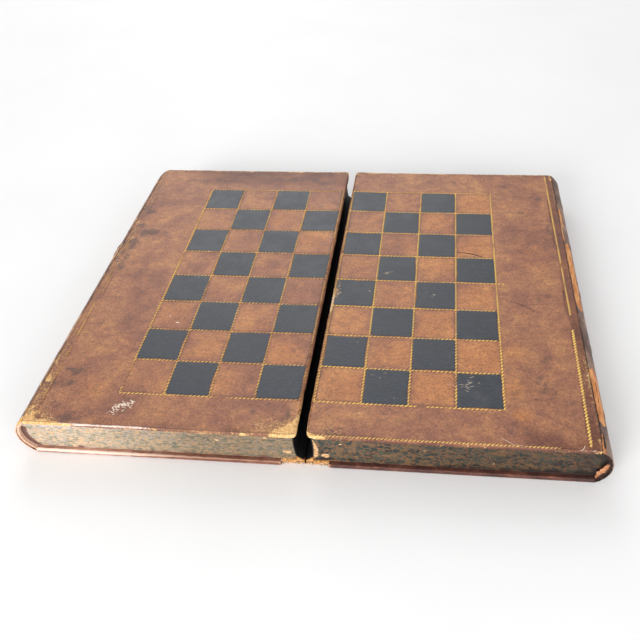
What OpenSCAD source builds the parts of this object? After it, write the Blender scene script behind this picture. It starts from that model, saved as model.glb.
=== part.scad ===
// Folding games board made as two book volumes, lying open flat.
// Chequers cover the outside of both volumes; each volume is a shallow tray whose mouth
// faces down here and holds one half of a points table. The halves fold at x = 0.
// Origin: middle of the fold, on the table. +X right, +Y back, +Z up. Millimetres.

/* [Chequers] */
// Side of one square
square = 38; // [30:0.5:46]
// Width of the tooled line between two squares
line_w = 1.6; // [0.6:0.1:3]
// Margin between the squares and the cover's edge along the fold
inner_margin = 2.2; // [1:0.1:12]
// Plain margin between the squares and the spine
spine_margin = 70.3; // [45:0.1:110]
// Plain margin in front of the squares
front_margin = 35.3; // [15:0.1:70]
// Plain margin behind the squares
back_margin = 41.7; // [15:0.1:70]
// Thickness of each black leather square
onlay_t = 0.2; // [0.1:0.05:0.4]

/* [Covers] */
// Thickness of the millboard inside each cover
board_t = 2; // [1.5:0.1:4]
// Thickness of the leather round the millboard
leather_t = 0.7; // [0.5:0.1:1.2]
// Overhang of the cover beyond the marbled page edges
overhang = 4; // [2:0.5:8]
// Space between the two covers when the board lies open
cover_gap = 7; // [6:0.5:12]
// Clearance between the turned-in leather and the page edges
turn_clear = 0.2; // [0.1:0.05:0.5]

/* [Trays] */
// Height of each half, from the table to the playing surface
half_h = 40; // [32:0.5:60]
// Thickness of the front and back walls
wall_t = 8; // [5:0.5:14]
// Thickness of the wall at the spine, up to the joint
spine_wall_t = 12; // [8:0.5:20]
// Thickness of the panel that closes the tray
panel_t = 4; // [3:0.5:8]
// Thickness of the boards round the tray's mouth
rim_t = 4.4; // [3:0.2:7]
// Thickness of the marbled paper on its card
paper_t = 0.5; // [0.3:0.1:1]
// Thickness of the leather that lines the tray's floor
lining_t = 0.8; // [0.5:0.1:1.5]

/* [Points table] */
// Points along one wall of a tray
points = 6; // [4:1:8]
// Length of a point
point_len = 148; // [90:1:160]
// Space between two points at their bases
point_gap = 3; // [1:0.5:6]
// Thickness of a point's leather
point_t = 0.3; // [0.2:0.1:0.6]

/* [Spines] */
// How far the round spine stands out past the cover's edge
bulge = 10.8; // [7:0.2:16]
// Thickness of the spine's leather
spine_leather_t = 1.2; // [0.8:0.1:2]
// Thickness of the liner inside that leather
liner_t = 2.2; // [1:0.1:3]
// Setback of the liner's ends from the leather's ends
liner_setback = 1.2; // [0.5:0.1:3]
// Raised bands on each spine
bands = 5; // [3:1:6]
// Width of a raised band
band_w = 6; // [4:0.5:9]
// Height of a raised band
band_h = 1.3; // [0.6:0.1:2]
// Distance of the outer bands from the spine's ends
band_end = 46; // [25:1:70]
// Distance of a band's ends from the playing surface and from the table
band_trim = 1.6; // [1:0.1:5]

/* [Fold] */
// Setback of the hollow fore-edge from the cover's edge
fore_setback = 3; // [2:0.2:5]
// Depth of the hollow in the fore-edge
hollow = 0.9; // [0.4:0.1:2]
// Thickness of the wall behind the hollow's ends
fore_wall_t = 12.5; // [8:0.5:18]
// Thickness of the leather strip that joins the halves
strip_t = 1.2; // [0.8:0.1:2.4]
// Distance of each strip leaf from the fold line
strip_clear = 0.25; // [0.2:0.05:0.5]
// Distance of each rail from the fold line
rail_clear = 0.9; // [0.8:0.1:2]
// Height of the rail's nose at the fold line
nose_low = 3.8; // [3:0.1:8]
// Height of the rail's nose at the fore-edge
nose_high = 8.8; // [7:0.2:14]
// Setback of the rail's ends from the rim's ends
rail_setback = 2.6; // [1:0.1:3.5]

/* [Hidden] */
$fn = 96;
rows = 8;
columns = 4;
past = 1;

// Cover: edge at the fold, edge at the spine and half its depth
cover_x = cover_gap / 2;
joint_x = cover_x + inner_margin + columns * square + spine_margin;
depth = front_margin + rows * square + back_margin;
cover_y = depth / 2;
grid_back = cover_y - back_margin;
grid_x = cover_x + inner_margin;

// Levels, from the table up
lining_z = half_h - leather_t - board_t - panel_t - lining_t;
panel_z = lining_z + lining_t;
board_z = panel_z + panel_t;
turn_z = board_z - leather_t;

// Page block: outer face of the paper, outer and inner faces of the walls
paper_y = cover_y - overhang;
wall_y = paper_y - paper_t;
inner_y = wall_y - wall_t;
fore_x = cover_x + fore_setback;
inner_x = fore_x + leather_t + fore_wall_t;
spine_in_x = joint_x - spine_wall_t;
rail_y = cover_y - rail_setback;

// Hollow fore-edge: an arc over its chord, from the nose to the cover
hollow_h = board_z - nose_high - leather_t;
hollow_r = (pow(hollow_h / 2, 2) + pow(hollow, 2)) / (2 * hollow);
hollow_z = board_z - hollow_h / 2;

// Round spine: an arc over the height of the half
spine_r = (pow(half_h / 2, 2) + pow(bulge, 2)) / (2 * bulge);
band_step = (2 * (cover_y - band_end)) / (bands - 1);

// Points table
point_pitch = (spine_in_x - inner_x) / points;

// Box between two corners
module block(low, high) {
  translate(low) cube(high - low);
}

// Extrusion of an X-Z outline from y0 to y1
module along_y(y0, y1) {
  translate([0, y1, 0]) rotate([90, 0, 0]) linear_extrude(y1 - y0) children();
}

// The right-hand piece as drawn, or its mirror image on the left
module on_side(side) {
  if (side == "left") mirror([1, 0, 0]) children();
  else children();
}

// Outline of the trough between fore-edge and fold, its faces set back by d
module trough(d) {
  lift = leather_t - d;
  intersection() {
    translate([fore_x + hollow - hollow_r, hollow_z]) circle(hollow_r + d);
    translate([0, nose_high + leather_t]) square_2d(fore_x + hollow + 2 * leather_t, hollow_h);
  }
  polygon([
    [rail_clear, nose_low + lift],
    [fore_x + d, nose_high + lift],
    [fore_x + d, nose_high + leather_t],
    [rail_clear, nose_high + leather_t]
  ]);
}

// Rectangle with its corner at the origin
module square_2d(w, h) {
  polygon([[0, 0], [w, 0], [w, h], [0, h]]);
}

// Full circle of the spine's arc, set in by d
module spine_circle(d) {
  translate([joint_x + bulge - spine_r, half_h / 2]) circle(spine_r - d);
}

// Outline of the spine past the joint, set in by d
module spine_disc(d) {
  intersection() {
    spine_circle(d);
    translate([joint_x, -half_h]) square_2d(2 * bulge, 3 * half_h);
  }
}

// Outline of the page block from x0 to its round end, between rim and cover
module block_end(x0) {
  tall = board_z - rim_t;
  intersection() {
    translate([x0, rim_t]) square_2d(joint_x + bulge - x0, tall);
    union() {
      translate([x0, rim_t]) square_2d(joint_x - x0, tall);
      spine_circle(spine_leather_t + liner_t);
    }
  }
}

// Outline of the page block, seen from the front
module page_block() {
  difference() {
    block_end(fore_x);
    trough(leather_t);
    square_2d(fore_x + leather_t, nose_high + leather_t);
  }
}

// Leather over the board's top, round three edges and in under the overhang
module cover_leather(side) {
  on_side(side) color("sienna") difference() {
    block([cover_x, -cover_y, turn_z], [joint_x, cover_y, half_h]);
    block([cover_x + leather_t, leather_t - cover_y, board_z],
      [joint_x + past, cover_y - leather_t, half_h - leather_t]);
    block([fore_x - turn_clear, -paper_y - turn_clear, turn_z - past],
      [joint_x + past, paper_y + turn_clear, board_z]);
  }
}

// Millboard inside the cover
module cover_board(side) {
  on_side(side) color("tan")
    block([cover_x + leather_t, leather_t - cover_y, board_z],
      [joint_x, cover_y - leather_t, half_h - leather_t]);
}

// Sixteen black squares of one half; colours run on across the fold
module black_squares(side) {
  x0 = side == "left" ? -grid_x - columns * square : grid_x;
  side_in = square - line_w;
  color("darkslategray")
    for (row = [0 : rows - 1], column = [0 : columns - 1])
      if ((row + column) % 2 == 0)
        translate([x0 + column * square + line_w / 2, grid_back - (row + 1) * square + line_w / 2,
          half_h]) cube([side_in, side_in, onlay_t]);
}

// Wooden panel that closes the tray, between the walls
module tray_panel(side) {
  on_side(side) color("burlywood")
    block([inner_x, -inner_y, panel_z], [spine_in_x, inner_y, board_z]);
}

// Wooden wall at the front, between the fore-edge wall and the spine block
module front_wall(side) {
  on_side(side) color("peru")
    block([inner_x, -wall_y, rim_t], [spine_in_x, -inner_y, board_z]);
}

// Wooden wall at the back
module back_wall(side) {
  on_side(side) color("peru")
    block([inner_x, inner_y, rim_t], [spine_in_x, wall_y, board_z]);
}

// Wooden wall along the fold, hollowed like the fore-edge of a book
module fore_edge_wall(side) {
  on_side(side) color("peru") along_y(-wall_y, wall_y) difference() {
    translate([fore_x + leather_t, rim_t])
      square_2d(inner_x - fore_x - leather_t, board_z - rim_t);
    trough(leather_t);
  }
}

// Wooden wall at the spine, rounded past the joint
module spine_block(side) {
  on_side(side) color("peru") along_y(-wall_y, wall_y) block_end(spine_in_x);
}

// Marbled paper over the front ends of the block
module front_page_edge(side) {
  on_side(side) color("darkseagreen") along_y(-paper_y, -wall_y) page_block();
}

// Marbled paper over the back ends of the block
module back_page_edge(side) {
  on_side(side) color("darkseagreen") along_y(wall_y, paper_y) page_block();
}

// Black leather down the hollow and over the rail's nose
module fore_edge_leather(side) {
  on_side(side) color("black") along_y(-paper_y, paper_y) difference() {
    trough(leather_t);
    trough(0);
  }
}

// Leather of the round spine
module spine_leather(side) {
  on_side(side) color("saddlebrown") along_y(-cover_y, cover_y) difference() {
    spine_disc(0);
    spine_disc(spine_leather_t);
  }
}

// Tan liner inside the spine's leather
module spine_liner(side) {
  end = cover_y - liner_setback;
  on_side(side) color("sandybrown") along_y(-end, end) difference() {
    spine_disc(spine_leather_t);
    spine_disc(spine_leather_t + liner_t);
  }
}

// Raised bands across the spine
module spine_bands(side) {
  on_side(side) color("saddlebrown")
    for (i = [0 : bands - 1]) {
      y = band_end - cover_y + i * band_step;
      along_y(y - band_w / 2, y + band_w / 2) intersection() {
        difference() {
          spine_disc(-band_h);
          spine_disc(0);
        }
        translate([joint_x, band_trim]) square_2d(2 * bulge, half_h - 2 * band_trim);
      }
    }
}

// Leather-covered boards round the tray's mouth
module rim_front(side) {
  on_side(side) color("brown")
    block([inner_x, -cover_y, 0], [joint_x, -inner_y, rim_t]);
}

module rim_back(side) {
  on_side(side) color("brown")
    block([inner_x, inner_y, 0], [joint_x, cover_y, rim_t]);
}

module rim_spine(side) {
  on_side(side) color("brown")
    block([spine_in_x, -inner_y, 0], [joint_x, inner_y, rim_t]);
}

// Rail along the fold: rim board under the wall, with a sloping nose towards the fold
module hinge_rail(side) {
  on_side(side) color("tan") along_y(-rail_y, rail_y) polygon([
    [rail_clear, strip_t],
    [inner_x, strip_t],
    [inner_x, rim_t],
    [fore_x + leather_t, rim_t],
    [fore_x + leather_t, nose_high],
    [rail_clear, nose_low]
  ]);
}

// Leaf of the hinge leather under the rail
module hinge_strip(side) {
  on_side(side) color("chocolate")
    block([strip_clear, -rail_y, 0], [inner_x, rail_y, strip_t]);
}

// Leather on the tray's floor
module tray_lining(side) {
  on_side(side) color("darkgreen")
    block([inner_x, -inner_y, lining_z], [spine_in_x, inner_y, panel_z]);
}

// Half of one tray's points, the colours alternating along and across the tray
module table_points(parity) {
  for (wall = [0, 1], i = [0 : points - 1])
    if ((wall + i) % 2 == parity) {
      foot = wall == 0 ? -inner_y : inner_y;
      tip = foot + (wall == 0 ? point_len : -point_len);
      x0 = inner_x + i * point_pitch + point_gap / 2;
      x1 = x0 + point_pitch - point_gap;
      translate([0, 0, lining_z - point_t]) linear_extrude(point_t)
        polygon([[x0, foot], [x1, foot], [(x0 + x1) / 2, tip]]);
    }
}

module dark_points(side) {
  on_side(side) color("maroon") table_points(0);
}

module light_points(side) {
  on_side(side) color("wheat") table_points(1);
}

cover_leather("left");  // cover_leather_left
cover_leather("right");  // cover_leather_right
cover_board("left");  // cover_board_left
cover_board("right");  // cover_board_right
black_squares("left");  // black_squares_left
black_squares("right");  // black_squares_right
tray_panel("left");  // tray_panel_left
tray_panel("right");  // tray_panel_right
front_wall("left");  // front_wall_left
front_wall("right");  // front_wall_right
back_wall("left");  // back_wall_left
back_wall("right");  // back_wall_right
fore_edge_wall("left");  // fore_edge_wall_left
fore_edge_wall("right");  // fore_edge_wall_right
spine_block("left");  // spine_block_left
spine_block("right");  // spine_block_right
front_page_edge("left");  // front_page_edge_left
front_page_edge("right");  // front_page_edge_right
back_page_edge("left");  // back_page_edge_left
back_page_edge("right");  // back_page_edge_right
fore_edge_leather("left");  // fore_edge_leather_left
fore_edge_leather("right");  // fore_edge_leather_right
spine_leather("left");  // spine_leather_left
spine_leather("right");  // spine_leather_right
spine_liner("left");  // spine_liner_left
spine_liner("right");  // spine_liner_right
spine_bands("left");  // spine_bands_left
spine_bands("right");  // spine_bands_right
rim_front("left");  // rim_front_left
rim_front("right");  // rim_front_right
rim_back("left");  // rim_back_left
rim_back("right");  // rim_back_right
rim_spine("left");  // rim_spine_left
rim_spine("right");  // rim_spine_right
hinge_rail("left");  // hinge_rail_left
hinge_rail("right");  // hinge_rail_right
hinge_strip("left");  // hinge_strip_left
hinge_strip("right");  // hinge_strip_right
tray_lining("left");  // tray_lining_left
tray_lining("right");  // tray_lining_right
dark_points("left");  // dark_points_left
dark_points("right");  // dark_points_right
light_points("left");  // light_points_left
light_points("right");  // light_points_right
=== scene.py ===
import math
from itertools import zip_longest

import bpy
import numpy as np
from mathutils import Matrix, Vector


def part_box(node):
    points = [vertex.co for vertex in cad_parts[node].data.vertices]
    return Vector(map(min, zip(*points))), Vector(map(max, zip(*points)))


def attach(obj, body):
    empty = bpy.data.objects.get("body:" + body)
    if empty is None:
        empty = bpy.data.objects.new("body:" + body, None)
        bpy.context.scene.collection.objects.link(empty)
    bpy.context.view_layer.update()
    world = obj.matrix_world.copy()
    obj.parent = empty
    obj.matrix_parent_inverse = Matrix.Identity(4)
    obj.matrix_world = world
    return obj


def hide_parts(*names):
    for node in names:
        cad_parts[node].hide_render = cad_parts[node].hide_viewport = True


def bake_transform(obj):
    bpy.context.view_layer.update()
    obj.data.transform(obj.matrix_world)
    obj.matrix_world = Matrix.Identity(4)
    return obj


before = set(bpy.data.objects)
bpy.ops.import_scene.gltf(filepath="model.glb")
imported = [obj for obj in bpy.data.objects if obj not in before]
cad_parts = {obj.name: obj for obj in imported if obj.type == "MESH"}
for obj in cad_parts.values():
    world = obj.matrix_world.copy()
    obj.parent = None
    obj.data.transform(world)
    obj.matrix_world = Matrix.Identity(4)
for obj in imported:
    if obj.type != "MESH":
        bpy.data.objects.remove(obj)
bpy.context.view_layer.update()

MM = 0.001
SIDES = {"left": -1, "right": 1}


def box_mm(node):
    """Lowest and highest corner of a CAD node, in millimetres."""
    low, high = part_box(node)
    return np.array(low) / MM, np.array(high) / MM


def pick(side, left, right):
    """The value for this half."""
    return left if side == "left" else right


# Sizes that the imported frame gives, in millimetres
COVER_LOW, COVER_HIGH = box_mm("cover_leather_right")
FOLD_X, JOINT_X, COVER_Y = COVER_LOW[0], COVER_HIGH[0], COVER_HIGH[1]
TURN_Z, TOP_Z = COVER_LOW[2], COVER_HIGH[2]
SPINE_HIGH = box_mm("spine_leather_right")[1]
BULGE = SPINE_HIGH[0] - JOINT_X
SPINE_R = ((TOP_Z / 2) ** 2 + BULGE ** 2) / (2 * BULGE)
SPINE_X, SPINE_Z = JOINT_X + BULGE - SPINE_R, TOP_Z / 2
BAND_LOW, BAND_HIGH = box_mm("spine_bands_right")
BAND_H = BAND_HIGH[0] - SPINE_HIGH[0]
BAND_W, BANDS = 6.0, 5
SQUARES = {s: box_mm("black_squares_" + s) for s in SIDES}
LINE_W, ROWS, COLUMNS = 1.6, 8, 4
GRID_BACK = SQUARES["right"][1][1] + LINE_W / 2
GRID_FRONT = SQUARES["right"][0][1] - LINE_W / 2
SQUARE = (GRID_BACK - GRID_FRONT) / ROWS
GRID_X = {s: SQUARES[s][0][0] - LINE_W / 2 for s in SIDES}
ONLAY_T = SQUARES["right"][1][2] - TOP_Z


# Smooth noise

class Field:
    """Seeded smooth noise over a plane, from about -1 to 1."""

    def __init__(self, seed, n=128):
        self.n = n
        self.table = np.random.default_rng(seed).uniform(-1, 1, (n, n))

    def __call__(self, x, y, size, octaves=1):
        x, y = np.broadcast_arrays(np.asarray(x, float), np.asarray(y, float))
        total, share, reach = 0.0, 1.0, 0.0
        for k in range(octaves):
            total = total + share * self._layer(x / size + 17.3 * k, y / size + 5.1 * k)
            reach += share
            share, size = share * 0.55, size * 0.5
        return total / reach

    def _layer(self, u, v):
        i, j = np.floor(u).astype(int), np.floor(v).astype(int)
        a, b = u - i, v - j
        a, b = a * a * (3 - 2 * a), b * b * (3 - 2 * b)
        t, n = self.table, self.n
        low = t[i % n, j % n] * (1 - a) + t[(i + 1) % n, j % n] * a
        high = t[i % n, (j + 1) % n] * (1 - a) + t[(i + 1) % n, (j + 1) % n] * a
        return 1.5 * (low * (1 - b) + high * b)


WAVE, EDGE, BLOT, FIBRE, WORN = (Field(s) for s in (11, 23, 37, 41, 59))


def smooth(low, high, x):
    """Smoothstep from 0 at low to 1 at high; low may be the larger."""
    t = np.clip((np.asarray(x, float) - low) / (high - low), 0, 1)
    return t * t * (3 - 2 * t)


def near(distance, reach):
    """1 where a distance is 0 or less, falling in a line to 0 at reach."""
    return np.clip(1 - distance / reach, 0, 1)


# Meshes

def mesh_piece(name, points, faces, material, attributes=None, flat=False):
    """A mesh object from points in millimetres."""
    mesh = bpy.data.meshes.new(name)
    mesh.from_pydata((np.asarray(points, float) * MM).tolist(), [], faces)
    for key, values in (attributes or {}).items():
        layer = mesh.attributes.new(key, "FLOAT", "POINT")
        layer.data.foreach_set("value", np.asarray(values, np.float32))
    mesh.materials.append(material)
    mesh.validate()
    mesh.update()
    if not flat:
        mesh.polygons.foreach_set("use_smooth", [True] * len(mesh.polygons))
    return placed(name, mesh)


def placed(name, data):
    """An object of the data, in the scene."""
    obj = bpy.data.objects.new(name, data)
    bpy.context.scene.collection.objects.link(obj)
    return obj


def lattice(us, vs):
    """Every pair of a value of us and one of vs, as two flat arrays."""
    return (a.ravel() for a in np.meshgrid(us, vs, indexing="ij"))


def xyz(x, y, z):
    """Points from their coordinates, each an array or one number."""
    return np.stack(np.broadcast_arrays(x, y, z), 1)


def grid_faces(rows, columns, flip=False, base=0):
    """Quads of a grid whose vertex (i, j) is base + i * columns + j."""
    i, j = np.meshgrid(np.arange(rows - 1), np.arange(columns - 1), indexing="ij")
    a = (base + i * columns + j).ravel()
    quads = np.stack([a, a + columns, a + columns + 1, a + 1], 1)
    return (quads[:, ::-1] if flip else quads).tolist()


def border(rows, columns):
    """Indices round the border of a grid, in one turn."""
    last = columns - 1
    return ([*range(columns)] + [i * columns + last for i in range(1, rows)]
            + [(rows - 1) * columns + j for j in range(last - 1, -1, -1)]
            + [i * columns for i in range(rows - 2, 0, -1)])


def ring_faces(a, b, flip=False):
    """Quads between two closed loops of the same length."""
    n = len(a)
    quads = [[a[k], a[(k + 1) % n], b[(k + 1) % n], b[k]] for k in range(n)]
    return [q[::-1] for q in quads] if flip else quads


def shell_faces(rows, columns, flip, between=0):
    """Two like grids as one closed skin, joined through rings that follow them in the points."""
    n, loop = rows * columns, border(rows, columns)
    m = len(loop)
    rings = [loop] + [list(range(2 * n + k * m, 2 * n + (k + 1) * m)) for k in range(between)]
    rings.append([n + i for i in loop])
    faces = grid_faces(rows, columns, flip) + grid_faces(rows, columns, not flip, n)
    for a, b in zip(rings, rings[1:]):
        faces += ring_faces(a, b, not flip)
    return faces


def fit(obj, side, slot, *nodes):
    """Rides on its half and stands for the nodes; slot is not used."""
    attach(obj, side + "_half")
    if nodes:
        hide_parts(*nodes)


def joined(parts):
    """One list of points and faces from several, with their attributes."""
    points, faces, values, base = [], [], {}, 0
    for p, f, v in parts:
        points.append(np.asarray(p, float))
        faces += [[i + base for i in q] for q in f]
        for key, x in v.items():
            values.setdefault(key, []).append(np.broadcast_to(x, (len(p),)))
        base += len(p)
    return np.vstack(points), faces, {k: np.concatenate(x) for k, x in values.items()}


# Materials, with colours of 0 to 255

def srgb(r, g, b):
    """A colour of 0 to 255 as scene-linear values."""
    c = [v / 255 for v in (r, g, b)]
    return tuple(v / 12.92 if v <= 0.04045 else ((v + 0.055) / 1.055) ** 2.4 for v in c) + (1,)


THIRDS = (0.34, 0.5, 0.66)


class Finish:
    """A material with a few helpers for its procedural nodes."""

    def __init__(self, name, roughness=0.6, metallic=0.0, specular=0.5):
        self.material = bpy.data.materials.new(name)
        self.material.use_nodes = True
        self.nodes = self.material.node_tree.nodes
        self.links = self.material.node_tree.links
        self.shader = self.nodes["Principled BSDF"]
        self.set(Roughness=roughness, Metallic=metallic, Specular_IOR_Level=specular)
        self.where = self.nodes.new("ShaderNodeTexCoord").outputs["Object"]

    def set(self, **values):
        for key, value in values.items():
            self.put(self.shader.inputs[key.replace("_", " ")], value)

    def put(self, socket, value):
        """Links a socket, or sets a number or a colour of three parts."""
        if isinstance(value, bpy.types.NodeSocket):
            self.links.new(value, socket)
        else:
            socket.default_value = srgb(*value) if isinstance(value, tuple) else value

    def stretch(self, scales, at=None):
        """Object coordinates in metres, scaled along each axis."""
        n = self.nodes.new("ShaderNodeMapping")
        n.inputs["Scale"].default_value = scales
        self.links.new(at or self.where, n.inputs["Vector"])
        return n.outputs["Vector"]

    def noise(self, scale, detail=3.0, rough=0.55, warp=0.0, at=None, out="Fac"):
        n = self.nodes.new("ShaderNodeTexNoise")
        self.links.new(at or self.where, n.inputs["Vector"])
        for key, value in (("Scale", scale), ("Detail", detail), ("Roughness", rough),
            ("Distortion", warp)):
            n.inputs[key].default_value = value
        return n.outputs[out]

    def streaks(self, scales, detail, rough, warp=0.0):
        return self.noise(1, detail, rough, warp, at=self.stretch(scales))

    def cells(self, scale, feature="F1", at=None, out="Distance"):
        n = self.nodes.new("ShaderNodeTexVoronoi")
        n.feature = feature
        self.links.new(at or self.where, n.inputs["Vector"])
        n.inputs["Scale"].default_value = scale
        return n.outputs[out]

    def ramp(self, fac, places, *colours):
        n = self.nodes.new("ShaderNodeValToRGB")
        elements = n.color_ramp.elements
        while len(elements) < len(places):
            elements.new(0.5)
        for element, place, colour in zip(elements, places, colours):
            element.position, element.color = place, srgb(*colour)
        self.put(n.inputs["Fac"], fac)
        return n.outputs["Color"]

    def mix(self, fac, a, b, mode="MIX"):
        n = self.nodes.new("ShaderNodeMix")
        n.data_type, n.blend_type = "RGBA", mode
        for socket, value in zip((n.inputs["Factor"], n.inputs[6], n.inputs[7]), (fac, a, b)):
            self.put(socket, value)
        return n.outputs[2]

    def overlay(self, share, base, fac, places, *colours):
        """The base with light and dark grain from a noise."""
        return self.mix(share, base, self.ramp(fac, places, *colours), "OVERLAY")

    def dimmed(self, base, by):
        return self.mix(1.0, base, by, "MULTIPLY")

    def math(self, what, a, b=0.0, clamp=False):
        n = self.nodes.new("ShaderNodeMath")
        n.operation, n.use_clamp = what, clamp
        for socket, value in zip(n.inputs, (a, b, 0.0)):
            self.put(socket, value)
        return n.outputs[0]

    def plus(self, a, b, clamp=False):
        return self.math("ADD", a, b, clamp)

    def minus(self, a, b):
        return self.math("SUBTRACT", a, b)

    def times(self, a, b):
        return self.math("MULTIPLY", a, b)

    def share(self, a, part, b):
        """This part of a and the rest of b."""
        return self.plus(self.times(a, part), self.times(b, 1 - part))

    def span(self, value, low, high, to_low=0.0, to_high=1.0):
        """Value mapped smoothly from low..high to another range, clamped."""
        n = self.nodes.new("ShaderNodeMapRange")
        n.interpolation_type = "SMOOTHSTEP"
        for key, v in (("Value", value), ("From Min", low), ("From Max", high),
                       ("To Min", to_low), ("To Max", to_high)):
            self.put(n.inputs[key], v)
        return n.outputs["Result"]

    def attribute(self, name):
        n = self.nodes.new("ShaderNodeAttribute")
        n.attribute_name = name
        return n.outputs["Fac"]

    def masked(self, name, grain, low=0.42, high=0.58, sway=0.5):
        """An attribute with its border broken up by a noise."""
        broken = self.plus(self.attribute(name), self.times(self.minus(grain, 0.5), sway * 2))
        return self.span(broken, low, high)

    def bump(self, height, strength=0.3, distance=0.0003):
        """Adds the relief and gives the finished material."""
        n = self.nodes.new("ShaderNodeBump")
        n.inputs["Strength"].default_value = strength
        n.inputs["Distance"].default_value = distance
        self.links.new(height, n.inputs["Height"])
        self.links.new(n.outputs["Normal"], self.shader.inputs["Normal"])
        return self.material


def calf_finish():
    """Old calf: blotched brown, dark stains, tan core where it is worn through, painted shade on its side
    walls and a painted highlight along its front edges.
    """
    f = Finish("calf_leather", roughness=0.5)
    blot = f.noise(22, 4, 0.62, 0.8)
    patch = f.noise(80, 5, 0.62, 0.5)
    speck = f.noise(430, 4, 0.7)
    pores = f.noise(1500, 2, 0.6)
    drag = f.streaks((110, 190, 200), 4, 0.6, 0.6)
    tone = f.share(blot, 0.64, patch)
    base = f.ramp(tone, (0.35, 0.45, 0.52, 0.59, 0.67),
                  (134, 89, 71), (151, 101, 78), (163, 112, 82), (175, 123, 86), (190, 139, 92))
    glow = f.ramp(tone, (0.36, 0.5, 0.64), (168, 110, 74), (183, 123, 78), (198, 138, 86))
    tint = f.mix(f.span(f.plus(f.attribute("warm"), f.minus(blot, 0.5)), 0.1, 1.0), base, glow)
    tint = f.overlay(0.28, tint, drag, (0.36, 0.64), (150, 146, 150), (220, 216, 208))
    tint = f.overlay(0.55, tint, speck, (0.30, 0.50, 0.72), (120, 112, 116), (186, 184, 184),
    (232, 228, 218))
    tint = f.overlay(0.5, tint, pores, (0.34, 0.50, 0.68), (118, 108, 108), (188, 186, 184),
    (226, 220, 212))
    tint = f.mix(f.masked("shade", patch, 0.15, 1.15, 0.30), tint, f.dimmed(tint, (182, 164, 166)))
    stain = f.masked("stain", f.noise(120, 5, 0.8, 1.2), 0.30, 1.15, 1.1)
    tint = f.mix(f.times(stain, 0.72), tint, (88, 64, 58))
    dots = f.span(f.noise(330, 3, 0.6, 0.4), 0.66, 0.74)
    tint = f.mix(f.times(dots, 0.55), tint, (96, 62, 48))
    lint = f.span(f.streaks((240, 900, 400), 3, 0.6, 1.5), 0.69, 0.75)
    tint = f.mix(f.times(lint, 0.45), tint, (206, 158, 116))
    # Painted shade on the cover's side walls, below the rounded top edge
    tint = f.mix(f.times(f.attribute("edge"), 0.8), tint, (84, 46, 38))
    # Pale mix: a painted highlight along the front edges and a painted sheen at the right front corner,
    # with some real pale rubbing
    pale = f.masked("pale", f.noise(500, 3, 0.7), 0.30, 0.65, 0.5)
    tint = f.mix(f.times(pale, 1.0), tint, (242, 216, 204))
    shred = f.streaks((460, 620, 500), 5, 0.75, 1.2)
    worn = f.masked("wear", shred, 0.48, 0.66, 1.0)
    core = f.ramp(f.noise(620, 4, 0.75), (0.34, 0.48, 0.62), (184, 128, 74), (224, 172, 106),
    (246, 212, 156))
    rim = f.masked("wear", shred, 0.24, 0.46, 0.9)
    tint = f.mix(f.times(rim, 0.5), tint, (112, 74, 52))
    hair = f.math("ABSOLUTE", f.minus(f.streaks((150, 110, 100), 3, 0.55, 1.6), 0.5))
    hair = f.times(f.span(hair, 0.022, 0.008), f.span(speck, 0.36, 0.56))
    hair = f.times(hair, f.plus(f.span(f.attribute("wear"), 0.06, 0.30), 0.06, clamp=True))
    tint = f.mix(f.times(hair, 0.8), tint, (226, 176, 116))
    matt = f.plus(f.times(worn, 0.3), f.times(f.attribute("edge"), 0.25))
    f.set(Base_Color=f.mix(worn, tint, core), Roughness=f.plus(f.span(speck, 0.3, 0.7, 0.42, 0.58), matt))
    return f.bump(f.minus(f.share(speck, 0.6, pores), f.times(worn, 0.8)))


def slate_finish():
    """Black leather onlays, rubbed to a slate grey."""
    f = Finish("black_onlay", roughness=0.42)
    cloud = f.noise(60, 4, 0.6)
    speck = f.noise(600, 3, 0.6)
    rub = f.streaks((90, 420, 100), 4, 0.65, 0.9)
    tint = f.ramp(cloud, (0.3, 0.55, 0.75), (48, 53, 60), (60, 65, 73), (74, 76, 82))
    tint = f.overlay(0.35, tint, rub, (0.4, 0.66), (150, 150, 152), (214, 210, 208))
    tint = f.overlay(0.6, tint, speck, (0.35, 0.7), (140, 140, 144), (220, 216, 212))
    lint = f.span(f.streaks((420, 640, 400), 3, 0.7, 1.2), 0.66, 0.74)
    f.set(Base_Color=f.mix(f.times(lint, 0.6), tint, (160, 156, 150)),
          Roughness=f.span(cloud, 0.3, 0.7, 0.38, 0.52))
    return f.bump(speck, 0.25, 0.0002)


def gold_finish():
    """Gold leaf in the tooled lines, thin and rubbed."""
    f = Finish("gold_tooling", roughness=0.45, metallic=0.2)
    flake = f.noise(900, 3, 0.7)
    tone = f.plus(f.attribute("tone"), f.times(f.minus(flake, 0.5), 0.7))
    f.set(Base_Color=f.ramp(tone, (0.0, 0.3, 0.6, 0.9),
                            (128, 82, 50), (204, 156, 98), (236, 188, 108), (255, 214, 104)))
    return f.bump(flake, 0.3, 0.0002)


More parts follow.
